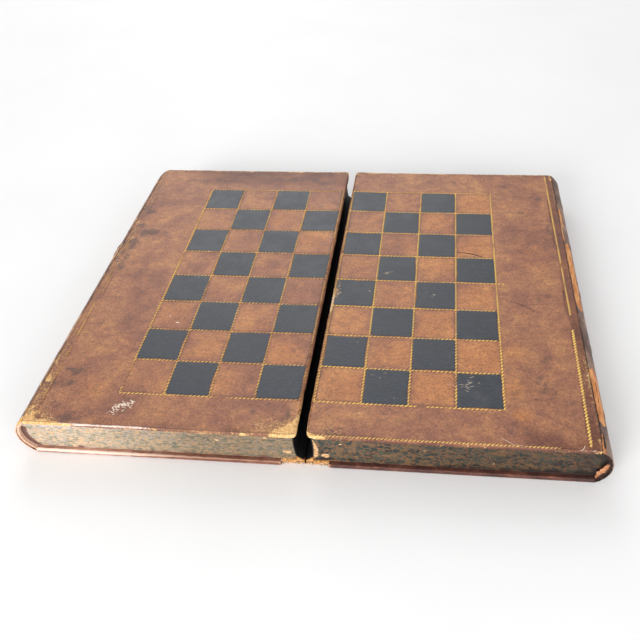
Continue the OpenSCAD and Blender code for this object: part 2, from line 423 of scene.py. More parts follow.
def spine_finish(name, tones, core_tones):
    """Leather of the spine, split along the joint to its tan core, with painted shade in its cracks and on
    the right spine's ends.
    """
    f = Finish(name, roughness=0.48)
    blot = f.noise(40, 4, 0.6, 0.4)
    speck = f.noise(500, 3, 0.65)
    fine = f.overlay(0.5, f.ramp(blot, THIRDS, *tones), speck, (0.34, 0.7), (104, 100, 104),
    (214, 208, 204))
    # Pale mix: rubbed leather, with a painted highlight at the front end
    pale = f.mix(f.masked("pale", f.noise(160, 4, 0.7), 0.35, 0.75, 0.5), fine, (224, 188, 166))
    shred = f.streaks((600, 90, 600), 4, 0.7, 0.4)
    tan = f.masked("tan", shred, 0.46, 0.54, 0.35)
    core = f.ramp(shred, THIRDS, *core_tones)
    # Near-black painted shade in the cracks, and on the right spine's inside and end faces
    crack_and_shade = f.masked("crack_and_shade", f.noise(300, 3, 0.7), 0.42, 0.62, 0.4)
    f.set(Base_Color=f.mix(crack_and_shade, f.mix(tan, pale, core), (30, 20, 18)),
          Roughness=f.plus(f.span(speck, 0.3, 0.7, 0.52, 0.66), f.times(tan, 0.3)))
    return f.bump(f.plus(speck, shred), 0.35)


def tan_finish(name, tones, dirt_and_shade):
    """Raw, fibrous inside of the leather, darkened where a mask paints dirt and shade."""
    f = Finish(name, roughness=0.85, specular=0.25)
    shred = f.streaks((500, 240, 900), 5, 0.7, 0.6)
    fuzz = f.noise(1300, 3, 0.7)
    both = f.share(shred, 0.65, fuzz)
    # Dark mix: dirt, and painted shade in recesses and in the hinge's gap
    soot_and_shade = f.masked("soot_and_shade", fuzz, 0.35, 0.7, 0.5)
    grime_and_shade = f.mix(0.5, dirt_and_shade, f.dimmed(f.ramp(shred, (0.4, 0.6), (150, 140, 140), (255, 250, 245)), dirt_and_shade))
    f.set(Base_Color=f.mix(soot_and_shade, f.ramp(both, (0.36, 0.5, 0.62), *tones), grime_and_shade))
    return f.bump(both, 0.6, 0.0005)


def marble_finish(name, grain, places, tones, vein, fleck, dirt_and_shade, dust_and_sheen_tint, falloff_shade):
    """Marbled paper: warped cells of colour between ragged veins, dirty and rubbed, with a painted sheen,
    painted shade and a painted light falloff.
    """
    f = Finish(name, roughness=0.6, specular=0.4)
    colours = f.noise(grain * 0.6, 4, 0.7, out="Color")
    at = f.stretch((0.55, 1, 1.1), f.mix(1.3 / grain, f.where, colours, "LINEAR_LIGHT"))
    split = f.nodes.new("ShaderNodeSeparateColor")
    f.links.new(f.cells(grain, "F1", at, "Color"), split.inputs["Color"])
    cloud = f.noise(90, 4, 0.65, 0.5)
    fibre = f.streaks((210, 500, 520), 5, 0.75, 1.0)
    tone = f.plus(f.times(split.outputs[0], 0.36), f.times(cloud, 0.28))
    tone = f.plus(tone, f.times(fibre, 0.36))
    edge = f.cells(grain, "DISTANCE_TO_EDGE", at)
    veins = f.times(f.span(edge, 0.22, 0.04), f.span(f.noise(grain * 1.2, 4, 0.7), 0.40, 0.60))
    tint = f.mix(f.times(veins, 0.85), f.ramp(tone, places, *tones), vein)
    dot = f.span(f.streaks((300, 700, 620), 4, 0.75, 0.8), 0.60, 0.68)
    tint = f.mix(f.times(dot, 0.75), tint, fleck)
    # Dust with a painted sheen: a pale haze along the top
    tint = f.mix(f.masked("dust_and_sheen", cloud, 0.2, 1.1, 0.4), tint, dust_and_sheen_tint)
    # Painted light falloff: where the mask is low the sheet is dimmed
    tint = f.mix(f.minus(1.0, f.attribute("painted_light")), tint, f.dimmed(tint, falloff_shade))
    # Dark mix: dirt, and painted shade under the cover and in recesses
    tint = f.mix(f.masked("soil_and_shade", cloud, 0.35, 0.9, 0.35), tint, dirt_and_shade)
    torn = f.masked("torn", f.noise(330, 4, 0.7), 0.44, 0.56, 0.35)
    raw = f.ramp(fibre, (0.36, 0.5, 0.62), (140, 92, 58), (206, 160, 112), (240, 206, 160))
    f.set(Base_Color=f.mix(torn, tint, raw))
    return f.bump(f.plus(fibre, f.times(torn, -1.0)), 0.35)


def rim_finish(name, tones, rub):
    """Red-brown leather of the lower boards, rubbed along its edges, with a painted highlight on the rubbed
    edges and painted shade.
    """
    f = Finish(name, roughness=0.5)
    blot = f.noise(55, 4, 0.62, 0.5)
    speck = f.noise(480, 3, 0.65)
    base = f.ramp(f.share(blot, 0.7, speck), THIRDS, *tones)
    # Rub mix: rubbed edges with a painted highlight
    worn = f.masked("rub", f.streaks((140, 140, 900), 4, 0.7, 0.4), 0.44, 0.62, 0.55)
    clean = f.mix(worn, base, rub)
    # Darkened by a mask: painted shade on the left board towards the fold, and a little overall on the
    # right
    matt = f.times(f.plus(worn, f.attribute("soil_and_shade")), 0.25)
    f.set(Base_Color=f.mix(f.attribute("soil_and_shade"), clean, f.dimmed(clean, (176, 152, 140))),
          Roughness=f.plus(f.span(speck, 0.3, 0.7, 0.42, 0.58), matt))
    return f.bump(f.plus(speck, f.times(worn, -0.6)), 0.35)


def plain_leather(name, tones, roughness, grain=520):
    """Even leather with a fine grain and faint clouding."""
    f = Finish(name, roughness=roughness)
    cloud = f.noise(70, 4, 0.6)
    speck = f.noise(grain * 1.7, 3, 0.6)
    f.set(Base_Color=f.ramp(f.share(cloud, 0.7, speck), THIRDS, *tones),
          Roughness=f.span(cloud, 0.3, 0.7, roughness - 0.06, roughness + 0.08))
    return f.bump(f.plus(f.cells(grain), f.times(speck, 0.5)))


def wood_finish():
    """Fine straight-grained case wood, browned with age."""
    f = Finish("case_wood", roughness=0.6)
    tone = f.share(f.streaks((30, 12, 420), 5, 0.6, 1.2), 0.7, f.streaks((260, 60, 2600), 3, 0.7))
    f.set(Base_Color=f.ramp(tone, THIRDS, (104, 66, 38), (150, 102, 62), (180, 132, 86)))
    return f.bump(tone)


def board_finish():
    """Grey-brown millboard with flecks and pressed layers."""
    f = Finish("millboard", roughness=0.9, specular=0.2)
    tone = f.share(f.streaks((60, 60, 2400), 4, 0.7), 0.6, f.noise(900, 3, 0.7))
    f.set(Base_Color=f.ramp(tone, (0.36, 0.52, 0.66), (120, 98, 76), (158, 134, 106), (184, 162, 132)))
    return f.bump(tone, 0.4)


def scuff_finish():
    """Pale fibres lifted by scratches."""
    f = Finish("scuffs", roughness=0.85, specular=0.2)
    fuzz = f.noise(1400, 3, 0.7)
    tone = f.plus(f.attribute("tone"), f.times(f.minus(fuzz, 0.5), 0.5))
    f.set(Base_Color=f.ramp(tone, (0.0, 0.35, 0.6, 1.0),
                            (62, 48, 44), (150, 116, 92), (214, 172, 124), (250, 232, 218)))
    return f.bump(fuzz, 0.4, 0.0002)


CALF, SLATE, GOLD = calf_finish(), slate_finish(), gold_finish()
SPINE = {
    "left": spine_finish("spine_leather_left", ((78, 56, 48), (138, 100, 80), (192, 152, 122)),
                         ((176, 120, 66), (226, 172, 98), (248, 212, 146))),
    "right": spine_finish("spine_leather_right", ((88, 64, 54), (128, 98, 84), (168, 138, 118)),
                          ((164, 94, 54), (216, 142, 84), (242, 188, 130))),
}
TAN = {
    "left": tan_finish("tan_liner_left", ((198, 146, 116), (236, 194, 166), (250, 226, 206)),
    (124, 88, 76)),
    "right": tan_finish("tan_liner_right", ((140, 84, 54), (192, 128, 86), (228, 178, 140)), (64, 46, 40)),
}
STRIP = tan_finish("hinge_leather", ((140, 84, 44), (214, 150, 84), (248, 204, 132)), (40, 26, 22))
MARBLE = {
    "left": marble_finish("marbled_paper_left", 680, (0.32, 0.41, 0.48, 0.54, 0.61, 0.70),
                          ((108, 126, 114), (142, 152, 134), (190, 176, 168),
                           (174, 168, 142), (222, 184, 138), (200, 190, 164)),
                          (182, 132, 96), (230, 172, 110), (104, 72, 64), (208, 198, 206), (182, 178, 172)),
    "right": marble_finish("marbled_paper_right", 300, (0.30, 0.44, 0.56, 0.64, 0.74),
                           ((22, 30, 30), (42, 57, 53), (64, 75, 66), (100, 84, 58), (138, 106, 70)),
                           (140, 94, 60), (164, 114, 72), (38, 28, 24), (100, 86, 82), (200, 192, 186)),
}
# Rub colours: pale rubbed leather that also stands for a painted highlight, strongest on the left
RIM = {
    "left": rim_finish("rim_leather_left", ((130, 86, 72), (178, 128, 108), (210, 164, 144)),
                       (246, 218, 200)),
    "right": rim_finish("rim_leather_right", ((54, 30, 25), (86, 48, 39), (120, 75, 58)), (186, 120, 86)),
}
BLACK = plain_leather("fore_edge_leather", ((6, 6, 7), (10, 10, 12), (18, 18, 20)), 0.6)
TRAY = plain_leather("tray_leather", ((48, 26, 20), (66, 38, 28), (84, 52, 38)), 0.55)
DARK_POINT = plain_leather("dark_point", ((10, 10, 10), (20, 19, 20), (34, 32, 32)), 0.45)
LIGHT_POINT = plain_leather("light_point", ((168, 104, 60), (196, 134, 82), (214, 160, 106)), 0.5)
WOOD, BOARD, SCUFF = wood_finish(), board_finish(), scuff_finish()


# Cover surface

CURL, CURL_REACH, BELLY, SWAY = 0.55, 34.0, 0.25, 0.12


def crown(x, y):
    """Height of a cover's leather: nearly flat, curling up a little towards the fold."""
    u, y = np.abs(np.asarray(x, float)), np.asarray(y, float)
    lift = smooth(CURL_REACH, 0, u - FOLD_X) * CURL * (0.7 + 0.3 * (y / COVER_Y) ** 2)
    belly = BELLY * np.sin(np.pi * np.clip((u - FOLD_X) / (JOINT_X - FOLD_X), 0, 1))
    return TOP_Z + lift - belly + SWAY * WAVE(x, y, 45, 2)


def onlay_surface(x, y):
    return crown(x, y) + ONLAY_T


def leather_surface(x, y):
    """The height of the leather, with the onlays where they lie."""
    u, v = np.asarray(x, float), np.asarray(y, float)
    start = np.where(u > 0, GRID_X["right"], GRID_X["left"])
    c, r = (u - start) / SQUARE, (GRID_BACK - v) / SQUARE
    inside = (c > 0) & (c < COLUMNS) & (r > 0) & (r < ROWS)
    black = (np.floor(c) + np.floor(r)) % 2 == 0
    return crown(u, v) + np.where(inside & black, ONLAY_T, 0.0)


def spots(x, y, marks):
    """Sum of soft elliptical marks (x, y, reach in x, reach in y, strength)."""
    total = np.zeros(np.shape(x))
    for cx, cy, rx, ry, strength in marks:
        total += strength * np.exp(-(((x - cx) / rx) ** 2 + ((y - cy) / ry) ** 2))
    return total


# Dark stains, as marks for spots
STAINS = {
    "left": [(-211, 141, 10, 11, 1.0), (-212, 104, 11, 11, 1.0), (-205, 65, 19, 6, 1.1),
             (-220, 74, 8, 8, .9), (-219, 44, 9, 13, 1.0), (-221, 25, 9, 13, 1.1), (-214, 8, 7, 9, .7),
             (-196, 118, 9, 5, .5), (-208, -74, 7, 5, .7), (-216, -131, 7, 5, .9),
             (-204, -134, 6, 5, .9), (-196, -131, 7, 5, .8), (-220, -147, 6, 5, 1.0),
             (-208, -148, 13, 4, 1.0), (-193, -184, 13, 6, .9), (-172, -152, 10, 8, .6),
             (-206, -168, 12, 9, .6), (-160, -176, 22, 8, .5), (-40, -166, 14, 9, .5),
             (-16, -172, 9, 8, .7), (-28, -158, 8, 6, .5), (-150, 168, 30, 10, .5),
             (-80, 172, 40, 8, .6), (-30, 168, 30, 10, .6), (-190, 166, 16, 10, .5)],
    "right": [(175, 164, 8, 5, .7), (190, 114, 12, 6, .6), (206, 141, 11, 7, .7),
              (186, -122, 20, 18, .6), (196, -96, 16, 10, .5), (180, -68, 16, 10, .45),
              (205, -150, 14, 22, .5), (192, 60, 9, 7, .5), (200, -20, 12, 10, .5),
              (60, -165, 18, 8, .4), (20, -182, 9, 6, .7), (120, 170, 24, 8, .4),
              (168, -176, 20, 8, .5), (217, 90, 6, 40, .5)],
}
# Warmer, redder patches
GLOWS = {
    "left": [(-70, 92, 20, 18, .5), (-30, 60, 18, 18, .5), (-100, -140, 22, 18, .5),
             (-60, -90, 20, 20, .4), (-180, -150, 18, 14, .5), (-170, -100, 20, 30, .3),
             (-30, -110, 16, 16, .5)],
    "right": [(110, 40, 30, 22, .4), (100, 110, 18, 18, .4), (150, 100, 18, 18, .5),
              (170, 130, 22, 14, .5), (50, -140, 18, 16, .5), (170, -160, 9, 7, 1.0),
              (168, -90, 14, 22, .6), (90, -100, 16, 14, .5), (194, 46, 22, 30, .8),
              (172, 70, 12, 16, .3), (164, -132, 14, 12, .6), (120, -130, 18, 12, .4)],
}
# Torn places, down to the tan core
TEARS = {
    "left": [(-213, -190.5, 18, 4.2, 1.6), (-197, -190.8, 10, 1.8, 1.2), (-226.5, -187, 4.5, 5, 1.1),
             (-225, -170, 4.0, 15, .45), (-225, -144, 3.5, 16, .42), (-216, -180, 12, 10, .34),
             (-226, -118, 2.0, 22, .38), (-209, -160, 10, 18, .2), (-224, 20, 4, 80, .2),
             (-222, 120, 6, 50, .2), (-30, -181, 16, 6, .34), (-4, 187, 2.5, 4, .8),
             (-45, -190.4, 20, 1.5, .3), (-226, 187, 5, 2.5, .7), (-120, -190.4, 50, 1.2, .34)],
    "right": [(6, -189.6, 5.5, 2.8, 1.6), (4.0, -186, 1.9, 6, 1.5), (3.5, -30, 2.3, 15, 1.1),
              (7.0, -24, 3.6, 9, .62), (14, -189.8, 7, 1.4, .8), (4, 186, 2.5, 3.5, .7),
              (22, -182, 14, 8, .3), (227.5, -118, 2.4, 48, .55), (223, -100, 3.0, 34, .26),
              (226.5, -184, 1.6, 7, .5), (226, 182, 2.5, 8, .8), (227, 150, 1.2, 14, .5),
              (2.8, -47, 1.8, 3.0, 1.3)],
}
# Factors that turn a square's place into a number of its own
SCRAMBLE = (12.9898, 78.233, 43758.5453)
# Pale places of the right cover: a painted sheen at the front corner and a rubbed place at the fold
RUBS_AND_SHEEN = [(222, -180, 7, 9, .2), (216, -188.5, 10, 2.5, .12), (3.9, -35, 1.9, 14, 1.6)]


def edge_distance(x, y):
    """Distance in from the fold, front and back edges of a cover."""
    return np.abs(x) - FOLD_X, y + COVER_Y, COVER_Y - y


def wear_mask(side, x, y):
    """Where the calf is worn to its core: tears, edges and the left volume's corner and spine side."""
    fold, front, back = edge_distance(x, y)
    wear = spots(x, y, TEARS[side]) * (0.8 + 0.55 * BLOT(x, y, 4.5, 3))
    ragged = np.clip(0.5 + 0.5 * WORN(x, y, 9, 3), 0, 1)
    if side == "left":
        corner = (np.clip(fold, 0, None) / 22) ** 0.8 + (np.clip(front, 0, None) / 15.5) ** 0.8
        wear = wear + 1.7 * smooth(1.2, 0.92, corner + 0.14 * WORN(x, y, 5, 3))
        wear = wear + 0.34 * smooth(2.3, 1.1, corner) * smooth(0.7, 1.7, front)
        wear = wear + 0.4 * smooth(217, 221, np.abs(x)) * smooth(0.05, 0.8, BLOT(x * 2, y, 6, 3))
    back_line = 0.55 * smooth(3.0, 1.2, back) + 0.5 * smooth(8, 1.5, back)
    wear = wear + back_line * (0.6 + 0.5 * EDGE(x, 77.0, 10, 3))
    nearest = np.minimum(np.minimum(fold, front), back)
    return wear + smooth(1.3, 0.0, nearest) * (0.06 + 0.4 * ragged ** 2.5)


def cover_masks(side, x, y):
    """Wear, stain, shade, warmth, pale rubbing and a painted highlight along the front edge, over a cover.
    """
    fold, front, back = edge_distance(x, y)
    nearest = np.minimum(np.minimum(fold, front), back)
    out = np.abs(x)
    stain = 1.25 * spots(x, y, STAINS[side]) * (0.75 + 0.9 * BLOT(x, y, 6, 3))
    stain = stain + 0.6 * smooth(218, 222, out) * smooth(0.0, 0.6, BLOT(x + 60, y, 11, 3))
    column, row = (x - GRID_X[side]) / SQUARE, (GRID_BACK - y) / SQUARE
    in_grid = ((column > 0) & (column < COLUMNS) & (row > 0) & (row < ROWS)).astype(float)
    to_line = np.minimum(np.abs(column - np.round(column)), np.abs(row - np.round(row))) * SQUARE
    shade = 0.75 * smooth(16, 0, nearest) * (0.6 + 0.6 * BLOT(x, y, 14, 2))
    shade = shade + 0.75 * smooth(2.6, 0.9, to_line) * in_grid
    groove = 217.5 + 1.2 * EDGE(y, 90.0, 30, 2)
    shade = shade + pick(side, 0.45, 0.8) * smooth(groove, groove + 4, out)
    shade = shade + 0.8 * smooth(1.2, 0.3, np.abs(out - groove - 1.5)) * (0.4 + EDGE(y, 120.0, 22, 2))
    if side == "left":
        shade = shade + 0.75 * smooth(148, 168, y) * smooth(205, 160, out)
    else:
        shade = shade + 0.45 * smooth(158, 166, out) * smooth(-40, -90, y) * (0.5 + BLOT(x, y, 30, 2))
    # A fixed number of 0 to 1 for each square, so that the squares differ a little in tone
    phase = SCRAMBLE[0] * np.floor(column).astype(int) + SCRAMBLE[1] * np.floor(row).astype(int)
    own = np.sin(phase + pick(side, 3.1, 0.4)) * SCRAMBLE[2]
    own = own - np.floor(own)
    warm = in_grid * (0.4 + 0.3 * own + (0.12 * column if side == "right" else -0.1))
    warm = warm * smooth(0.0, 9.0, to_line + 2) + spots(x, y, GLOWS[side])
    warm = warm + 0.15 * smooth(40, -120, y) - 0.12
    # Painted highlight along the front edge, strongest on the left cover's outer part
    pale = smooth(2.3, 0.9, front) * smooth(-0.2, 0.3, front) * (0.75 + 0.35 * EDGE(x, 61.0, 12, 3))
    pale = pale * pick(side, 0.2 + 0.85 * smooth(96, 132, out), 0.1 + 0.16 * smooth(195, 212, out))
    # Painted sheen at the right front corner, and a rubbed place at the fold
    if side == "right":
        pale = pale + spots(x, y, RUBS_AND_SHEEN)
    pale = pale + 0.3 * smooth(1.4, 0.2, fold) * (0.5 + 0.5 * EDGE(y, 41.0, 9, 3))
    masks = {"pale": pale, "wear": wear_mask(side, x, y), "stain": stain, "shade": shade, "warm": warm}
    return {key: np.clip(value, 0, 1.2) for key, value in masks.items()}


def steps(low, high, fine, coarse, band):
    """Positions from low to high, closer together within band of each end."""
    n = max(2, round(band / fine))
    m = max(2, round((high - low - 2 * band) / coarse))
    return np.concatenate([np.linspace(low, low + band, n, endpoint=False),
                           np.linspace(low + band, high - band, m, endpoint=False),
                           np.linspace(high - band, high, n + 1)])


def rounded_corner(u, y, cu, cy, reach):
    """Pulls a grid's square corner in to a round one of radius reach."""
    su, sy = (1 if cu > 100 else -1), (1 if cy > 0 else -1)
    a = (u - (cu - su * reach)) * su / reach
    b = (y - (cy - sy * reach)) * sy / reach
    inside = (a > 0) & (b > 0)
    ka, kb = np.clip(a, 0, 1), np.clip(b, 0, 1)
    na, nb = ka * np.sqrt(1 - kb ** 2 / 2), kb * np.sqrt(1 - ka ** 2 / 2)
    return (np.where(inside, (cu - su * reach) + su * reach * na, u),
            np.where(inside, (cy - sy * reach) + sy * reach * nb, y))


# Radii of a cover's corners, at the fold and at the joint
CORNER_R = {("left", "back"): (3.5, 7.0), ("left", "front"): (2.6, 1.6),
            ("right", "back"): (3.0, 1.6), ("right", "front"): (6.0, 1.6)}


def cover_grid(side, us, ys):
    """A grid over a cover, with the cover's rounded corners."""
    u, y = lattice(us, ys)
    for end, cy in (("back", ys[-1]), ("front", ys[0])):
        for cu, radius in zip((us[0], us[-1]), CORNER_R[side, end]):
            u, y = rounded_corner(u, y, cu, cy, radius)
    return u, y


def nibble(side, u, y):
    """How far the worn edges pull in at a point, in x and y."""
    seed = pick(side, 3.0, 71.0)
    fold, front, back = (np.exp(-np.clip(d, 0, None) / 1.6) for d in edge_distance(u, y))
    bite_fold = 0.25 * (1 + EDGE(y, seed, 7, 3)) + 0.5 * np.clip(EDGE(y, seed + 9, 3, 2), 0, 1) ** 2
    bite_front = 0.22 * (1 + EDGE(u, seed + 20, 6, 3)) + 0.5 * np.clip(EDGE(u, seed + 31, 3, 2), 0, 1) ** 2
    bite_back = 0.22 * (1 + EDGE(u, seed + 40, 8, 3))
    torn = np.clip(spots(SIDES[side] * u, y, TEARS[side]), 0, 1.2)
    return ((bite_fold + 0.5 * torn) * fold,
            (bite_front + 0.5 * torn) * front - (bite_back + 0.4 * torn) * back)


EDGE_R, JOINT_R, FOOT_R, TURN_IN = 1.25, 0.5, 0.8, 3.2


def make_cover(side):
    """Leather-wrapped cover board, with worn round edges, as one closed skin."""
    sign = SIDES[side]
    us = steps(FOLD_X + EDGE_R, JOINT_X - JOINT_R, 1.1, 2.6, 13)
    ys = steps(-COVER_Y + EDGE_R, COVER_Y - EDGE_R, 1.1, 2.8, 13)
    u, y = cover_grid(side, us, ys)
    loop = border(len(us), len(ys))
    bu, by = u[loop], y[loop]
    tu, ty = np.roll(bu, -1) - np.roll(bu, 1), np.roll(by, -1) - np.roll(by, 1)
    length = np.hypot(tu, ty)
    nu, ny = -ty / length, tu / length
    outward = np.sign(nu * (bu - (us[0] + us[-1]) / 2) / 100 + ny * by / 150)
    nu, ny = nu * outward, ny * outward
    at_joint = smooth(JOINT_X - 4, JOINT_X - 1, bu) * (np.abs(nu) > 0.7)
    radius = EDGE_R + (JOINT_R - EDGE_R) * at_joint
    foot = TOP_Z - TURN_Z
    # Round the edge: how far out of the grid's border, and how far down
    upper, lower = (np.radians(degrees) for degrees in ((22, 45, 67, 90), (0, 30, 60, 90)))
    profile = [(radius * math.sin(a), radius * (1 - math.cos(a))) for a in upper]
    profile += [(radius - FOOT_R * (1 - math.cos(a)), foot - FOOT_R + FOOT_R * math.sin(a)) for a in lower]
    profile.append((radius - TURN_IN * (1 - at_joint), foot))
    outlines = [np.column_stack([bu + nu * d, by + ny * d]) for d, _ in profile]
    p = np.vstack([np.column_stack([u, y])] + outlines)
    drop = np.concatenate([np.zeros(len(u))] + [np.broadcast_to(down, bu.shape) for _, down in profile])
    grid, n = len(u), len(loop)
    rings = [loop] + [list(range(grid + k * n, grid + (k + 1) * n)) for k in range(len(profile))]
    faces = grid_faces(len(us), len(ys), flip=sign < 0)
    for a, b in zip(rings, rings[1:]):
        faces += ring_faces(a, b, flip=sign > 0)
    faces.append(rings[-1][::-sign])
    du, dy = nibble(side, p[:, 0], p[:, 1])
    masks = cover_masks(side, sign * p[:, 0], p[:, 1])
    top = crown(sign * p[:, 0], p[:, 1]) - 0.18 * np.clip(masks["wear"], 0, 1)
    lowest = TURN_Z + 0.02
    z = lowest + (top - lowest) * (1 - drop / foot)
    # Painted shade on the side walls, stronger on the right cover
    masks["edge"] = np.clip(drop / 1.2, 0, 1) * pick(side, 0.55, 1.0)
    cover = mesh_piece("cover_" + side, xyz(sign * (p[:, 0] + du), p[:, 1] + dy, z), faces, CALF, masks)
    fit(cover, side, "calf_leather", "cover_leather_" + side)


def make_board(side):
    """Millboard inside the leather, its corners rounded like the cover's."""
    low, high = box_mm("cover_board_" + side)
    us = steps(FOLD_X + 1.6, JOINT_X - 0.4, 1.1, 30, 14)
    ys = steps(low[1] + 0.6, high[1] - 0.6, 1.1, 30, 14)
    u, y = cover_grid(side, us, ys)
    points = np.vstack([xyz(SIDES[side] * u, y, z) for z in (TURN_Z + 1.6, low[2] + 0.05)])
    faces = shell_faces(len(us), len(ys), side == "left")
    board = mesh_piece("board_" + side, points, faces, BOARD, flat=True)
    fit(board, side, "millboard", "cover_board_" + side)


def black_square(side, row, column, rng):
    """One onlay: a thin leather square with a soft, slightly wavy border."""
    n, half = 17, (SQUARE - LINE_W) / 2
    cx = GRID_X[side] + (column + 0.5) * SQUARE + rng.uniform(-0.25, 0.25)
    cy = GRID_BACK - (row + 0.5) * SQUARE + rng.uniform(-0.25, 0.25)
    t = np.sin(np.linspace(-0.5, 0.5, n) * math.pi) * half
    s, t = lattice(t, t)
    turn, skew = rng.uniform(-0.014, 0.014, 2)
    bow = rng.uniform(-0.85, 0.85, 4)
    phase = rng.uniform(0, 400)
    to_s, to_t = np.abs(s) / half, np.abs(t) / half
    ds = np.where(s > 0, bow[0], bow[1]) * to_s ** 3 * (1 - (t / half) ** 2)
    dt = np.where(t > 0, bow[2], bow[3]) * to_t ** 3 * (1 - (s / half) ** 2)
    ds = ds + 0.6 * EDGE(t + phase, 7.0, 9, 3) * to_s ** 4 * np.sign(s)
    dt = dt + 0.6 * EDGE(s + phase, 51.0, 9, 3) * to_t ** 4 * np.sign(t)
    soft = 1 - 0.022 * to_s ** 10 * to_t ** 10
    x = cx + (s + ds) * soft - turn * t
    y = cy + (t + dt) * soft + (turn + skew) * s
    z = crown(x, y) + ONLAY_T * (1 - 0.5 * smooth(0.97, 1.0, np.maximum(np.abs(s), np.abs(t)) / half))
    loop = border(n, n)
    bx, by = x[loop], y[loop]
    under = xyz(cx + (bx - cx) * 1.006, cy + (by - cy) * 1.006, crown(bx, by) - 0.06)
    ring = list(range(n * n, n * n + len(loop)))
    return (np.vstack([xyz(x, y, z), under]),
            grid_faces(n, n) + ring_faces(loop, ring, flip=True) + [ring[::-1]], {})


def make_squares(side):
    rng = np.random.default_rng(pick(side, 5, 6))
    parts = [black_square(side, r, c, rng)
             for r in range(ROWS) for c in range(COLUMNS) if (r + c) % 2 == 0]
    points, faces, _ = joined(parts)
    onlays = mesh_piece("black_onlays_" + side, points, faces, SLATE)
    fit(onlays, side, "black_leather", "black_squares_" + side)


# Gold tooling

STRAND = [(math.cos(a), math.sin(a)) for a in np.linspace(0, 2 * math.pi, 9)[:-1]]
STRAND_FACES = ([[i, (i + 1) % 8, 16] for i in range(8)]
                + [[i, 8 + i, 8 + (i + 1) % 8, (i + 1) % 8] for i in range(8)]
                + [[15 - i for i in range(8)]])


def ribbon(path, width, tone, surface, lift=0.05):
    """A thin raised fibre along a path of (x, y), lying on the surface."""
    p = np.array(path, float)
    n = len(p)
    t = np.gradient(p, axis=0)
    t /= np.maximum(np.linalg.norm(t, axis=1)[:, None], 1e-9)
    across = np.stack([-t[:, 1], t[:, 0]], 1)
    w = width / 2 * np.sin(np.linspace(0.12, math.pi - 0.12, n))[:, None]
    lines = ((p + across * w, -0.03), (p, lift), (p - across * w, -0.03), (p, -0.08))
    points = np.vstack([np.column_stack([q, surface(q[:, 0], q[:, 1]) + up]) for q, up in lines])
    faces = [[a * n + i, b * n + i, b * n + i + 1, a * n + i + 1]
             for a, b in ((0, 1), (1, 2), (2, 3), (3, 0)) for i in range(n - 1)]
    faces += [[0, n * 3, n * 2, n], [n - 1, 2 * n - 1, 3 * n - 1, 4 * n - 1]]
    return points, faces, {"tone": tone}


def rope(start, end, width, pitch, seed, keep, tone, lean=1, full=0.0):
    """Slanted strands of gold from start to end, worn away where keep is low; full fattens them."""
    rng = np.random.default_rng(seed)
    a, b = np.array(start, float), np.array(end, float)
    length = np.hypot(*(b - a))
    along = (b - a) / length
    across = np.array([-along[1], along[0]])
    lift = ONLAY_T + 0.02
    parts = []
    for k in range(int(length / pitch)):
        at = a + along * (k + 0.5) * pitch
        hold = keep + 0.55 * WORN(at[0] + seed, at[1], 14, 2)
        size = min(1.0, max(0.0, hold * 1.6)) * rng.uniform(0.85, 1.1)
        if hold < 0.12 or rng.random() > hold + 0.55:
            continue
        tilt = math.radians(rng.uniform(26, 34) + 12 * full) * lean
        long_r, short_r = pitch * (0.49 + 0.18 * full), width * (0.34 - 0.08 * full) * size
        if hold > 0.35:
            reach = along * pitch * 0.75
            path = [at - reach, at - reach / 3, at + reach / 3, at + reach]
            base_tone = float(np.clip(tone - 0.42 + 0.16 * full, 0.0, 1))
            parts.append(ribbon(path, width * (0.42 + 0.36 * full) * size, base_tone, onlay_surface, 0.0))
        c, s = math.cos(tilt), math.sin(tilt)
        ring = []
        for px, py in STRAND:
            q, w = px * long_r, py * short_r
            v = float(np.clip(q * s + w * c, -width / 2, width / 2))
            ring.append(at + along * (q * c - w * s) + across * v)
        ring = np.array(ring) + rng.normal(0, 0.05, (8, 2))
        height = crown(ring[:, 0], ring[:, 1])
        points = np.vstack([np.column_stack([ring, height + lift]), np.column_stack([ring, height - 0.05]),
                            np.append(at, crown(at[0], at[1]) + lift + 0.07)[None]])
        own_tone = np.clip(tone + 0.3 * (hold - 0.8) + rng.uniform(-0.12, 0.12), 0, 1)
        parts.append((points, STRAND_FACES, {"tone": own_tone}))
    return parts


GRID_WIDTH, GRID_PITCH, BORDER_PITCH = 1.75, 3.5, 3.1
# Border lines: start, end, width, seed, keep, tone, lean, fullness
BORDERS = {
    "left": [((-223.5, 60), (-222.0, -30), 1.4, 311, 0.42, 0.4, -1, 0.0),
             ((-222.0, -30), (-219.5, -170), 1.6, 312, 0.52, 0.5, -1, 0.0)],
    "right": [((220.5, 186), (221.5, -44), 2.0, 301, 0.85, 0.60, -1, 1.0),
              ((221.0, -62), (219.5, -188.3), 2.6, 302, 1.0, 0.62, -1, 1.0),
              ((9, -188.4), (170, -188.6), 2.0, 303, 0.85, 0.46, 1, 0.8),
              ((170, -188.6), (198, -188.7), 1.8, 304, 0.5, 0.5, 1, 0.5)],
}


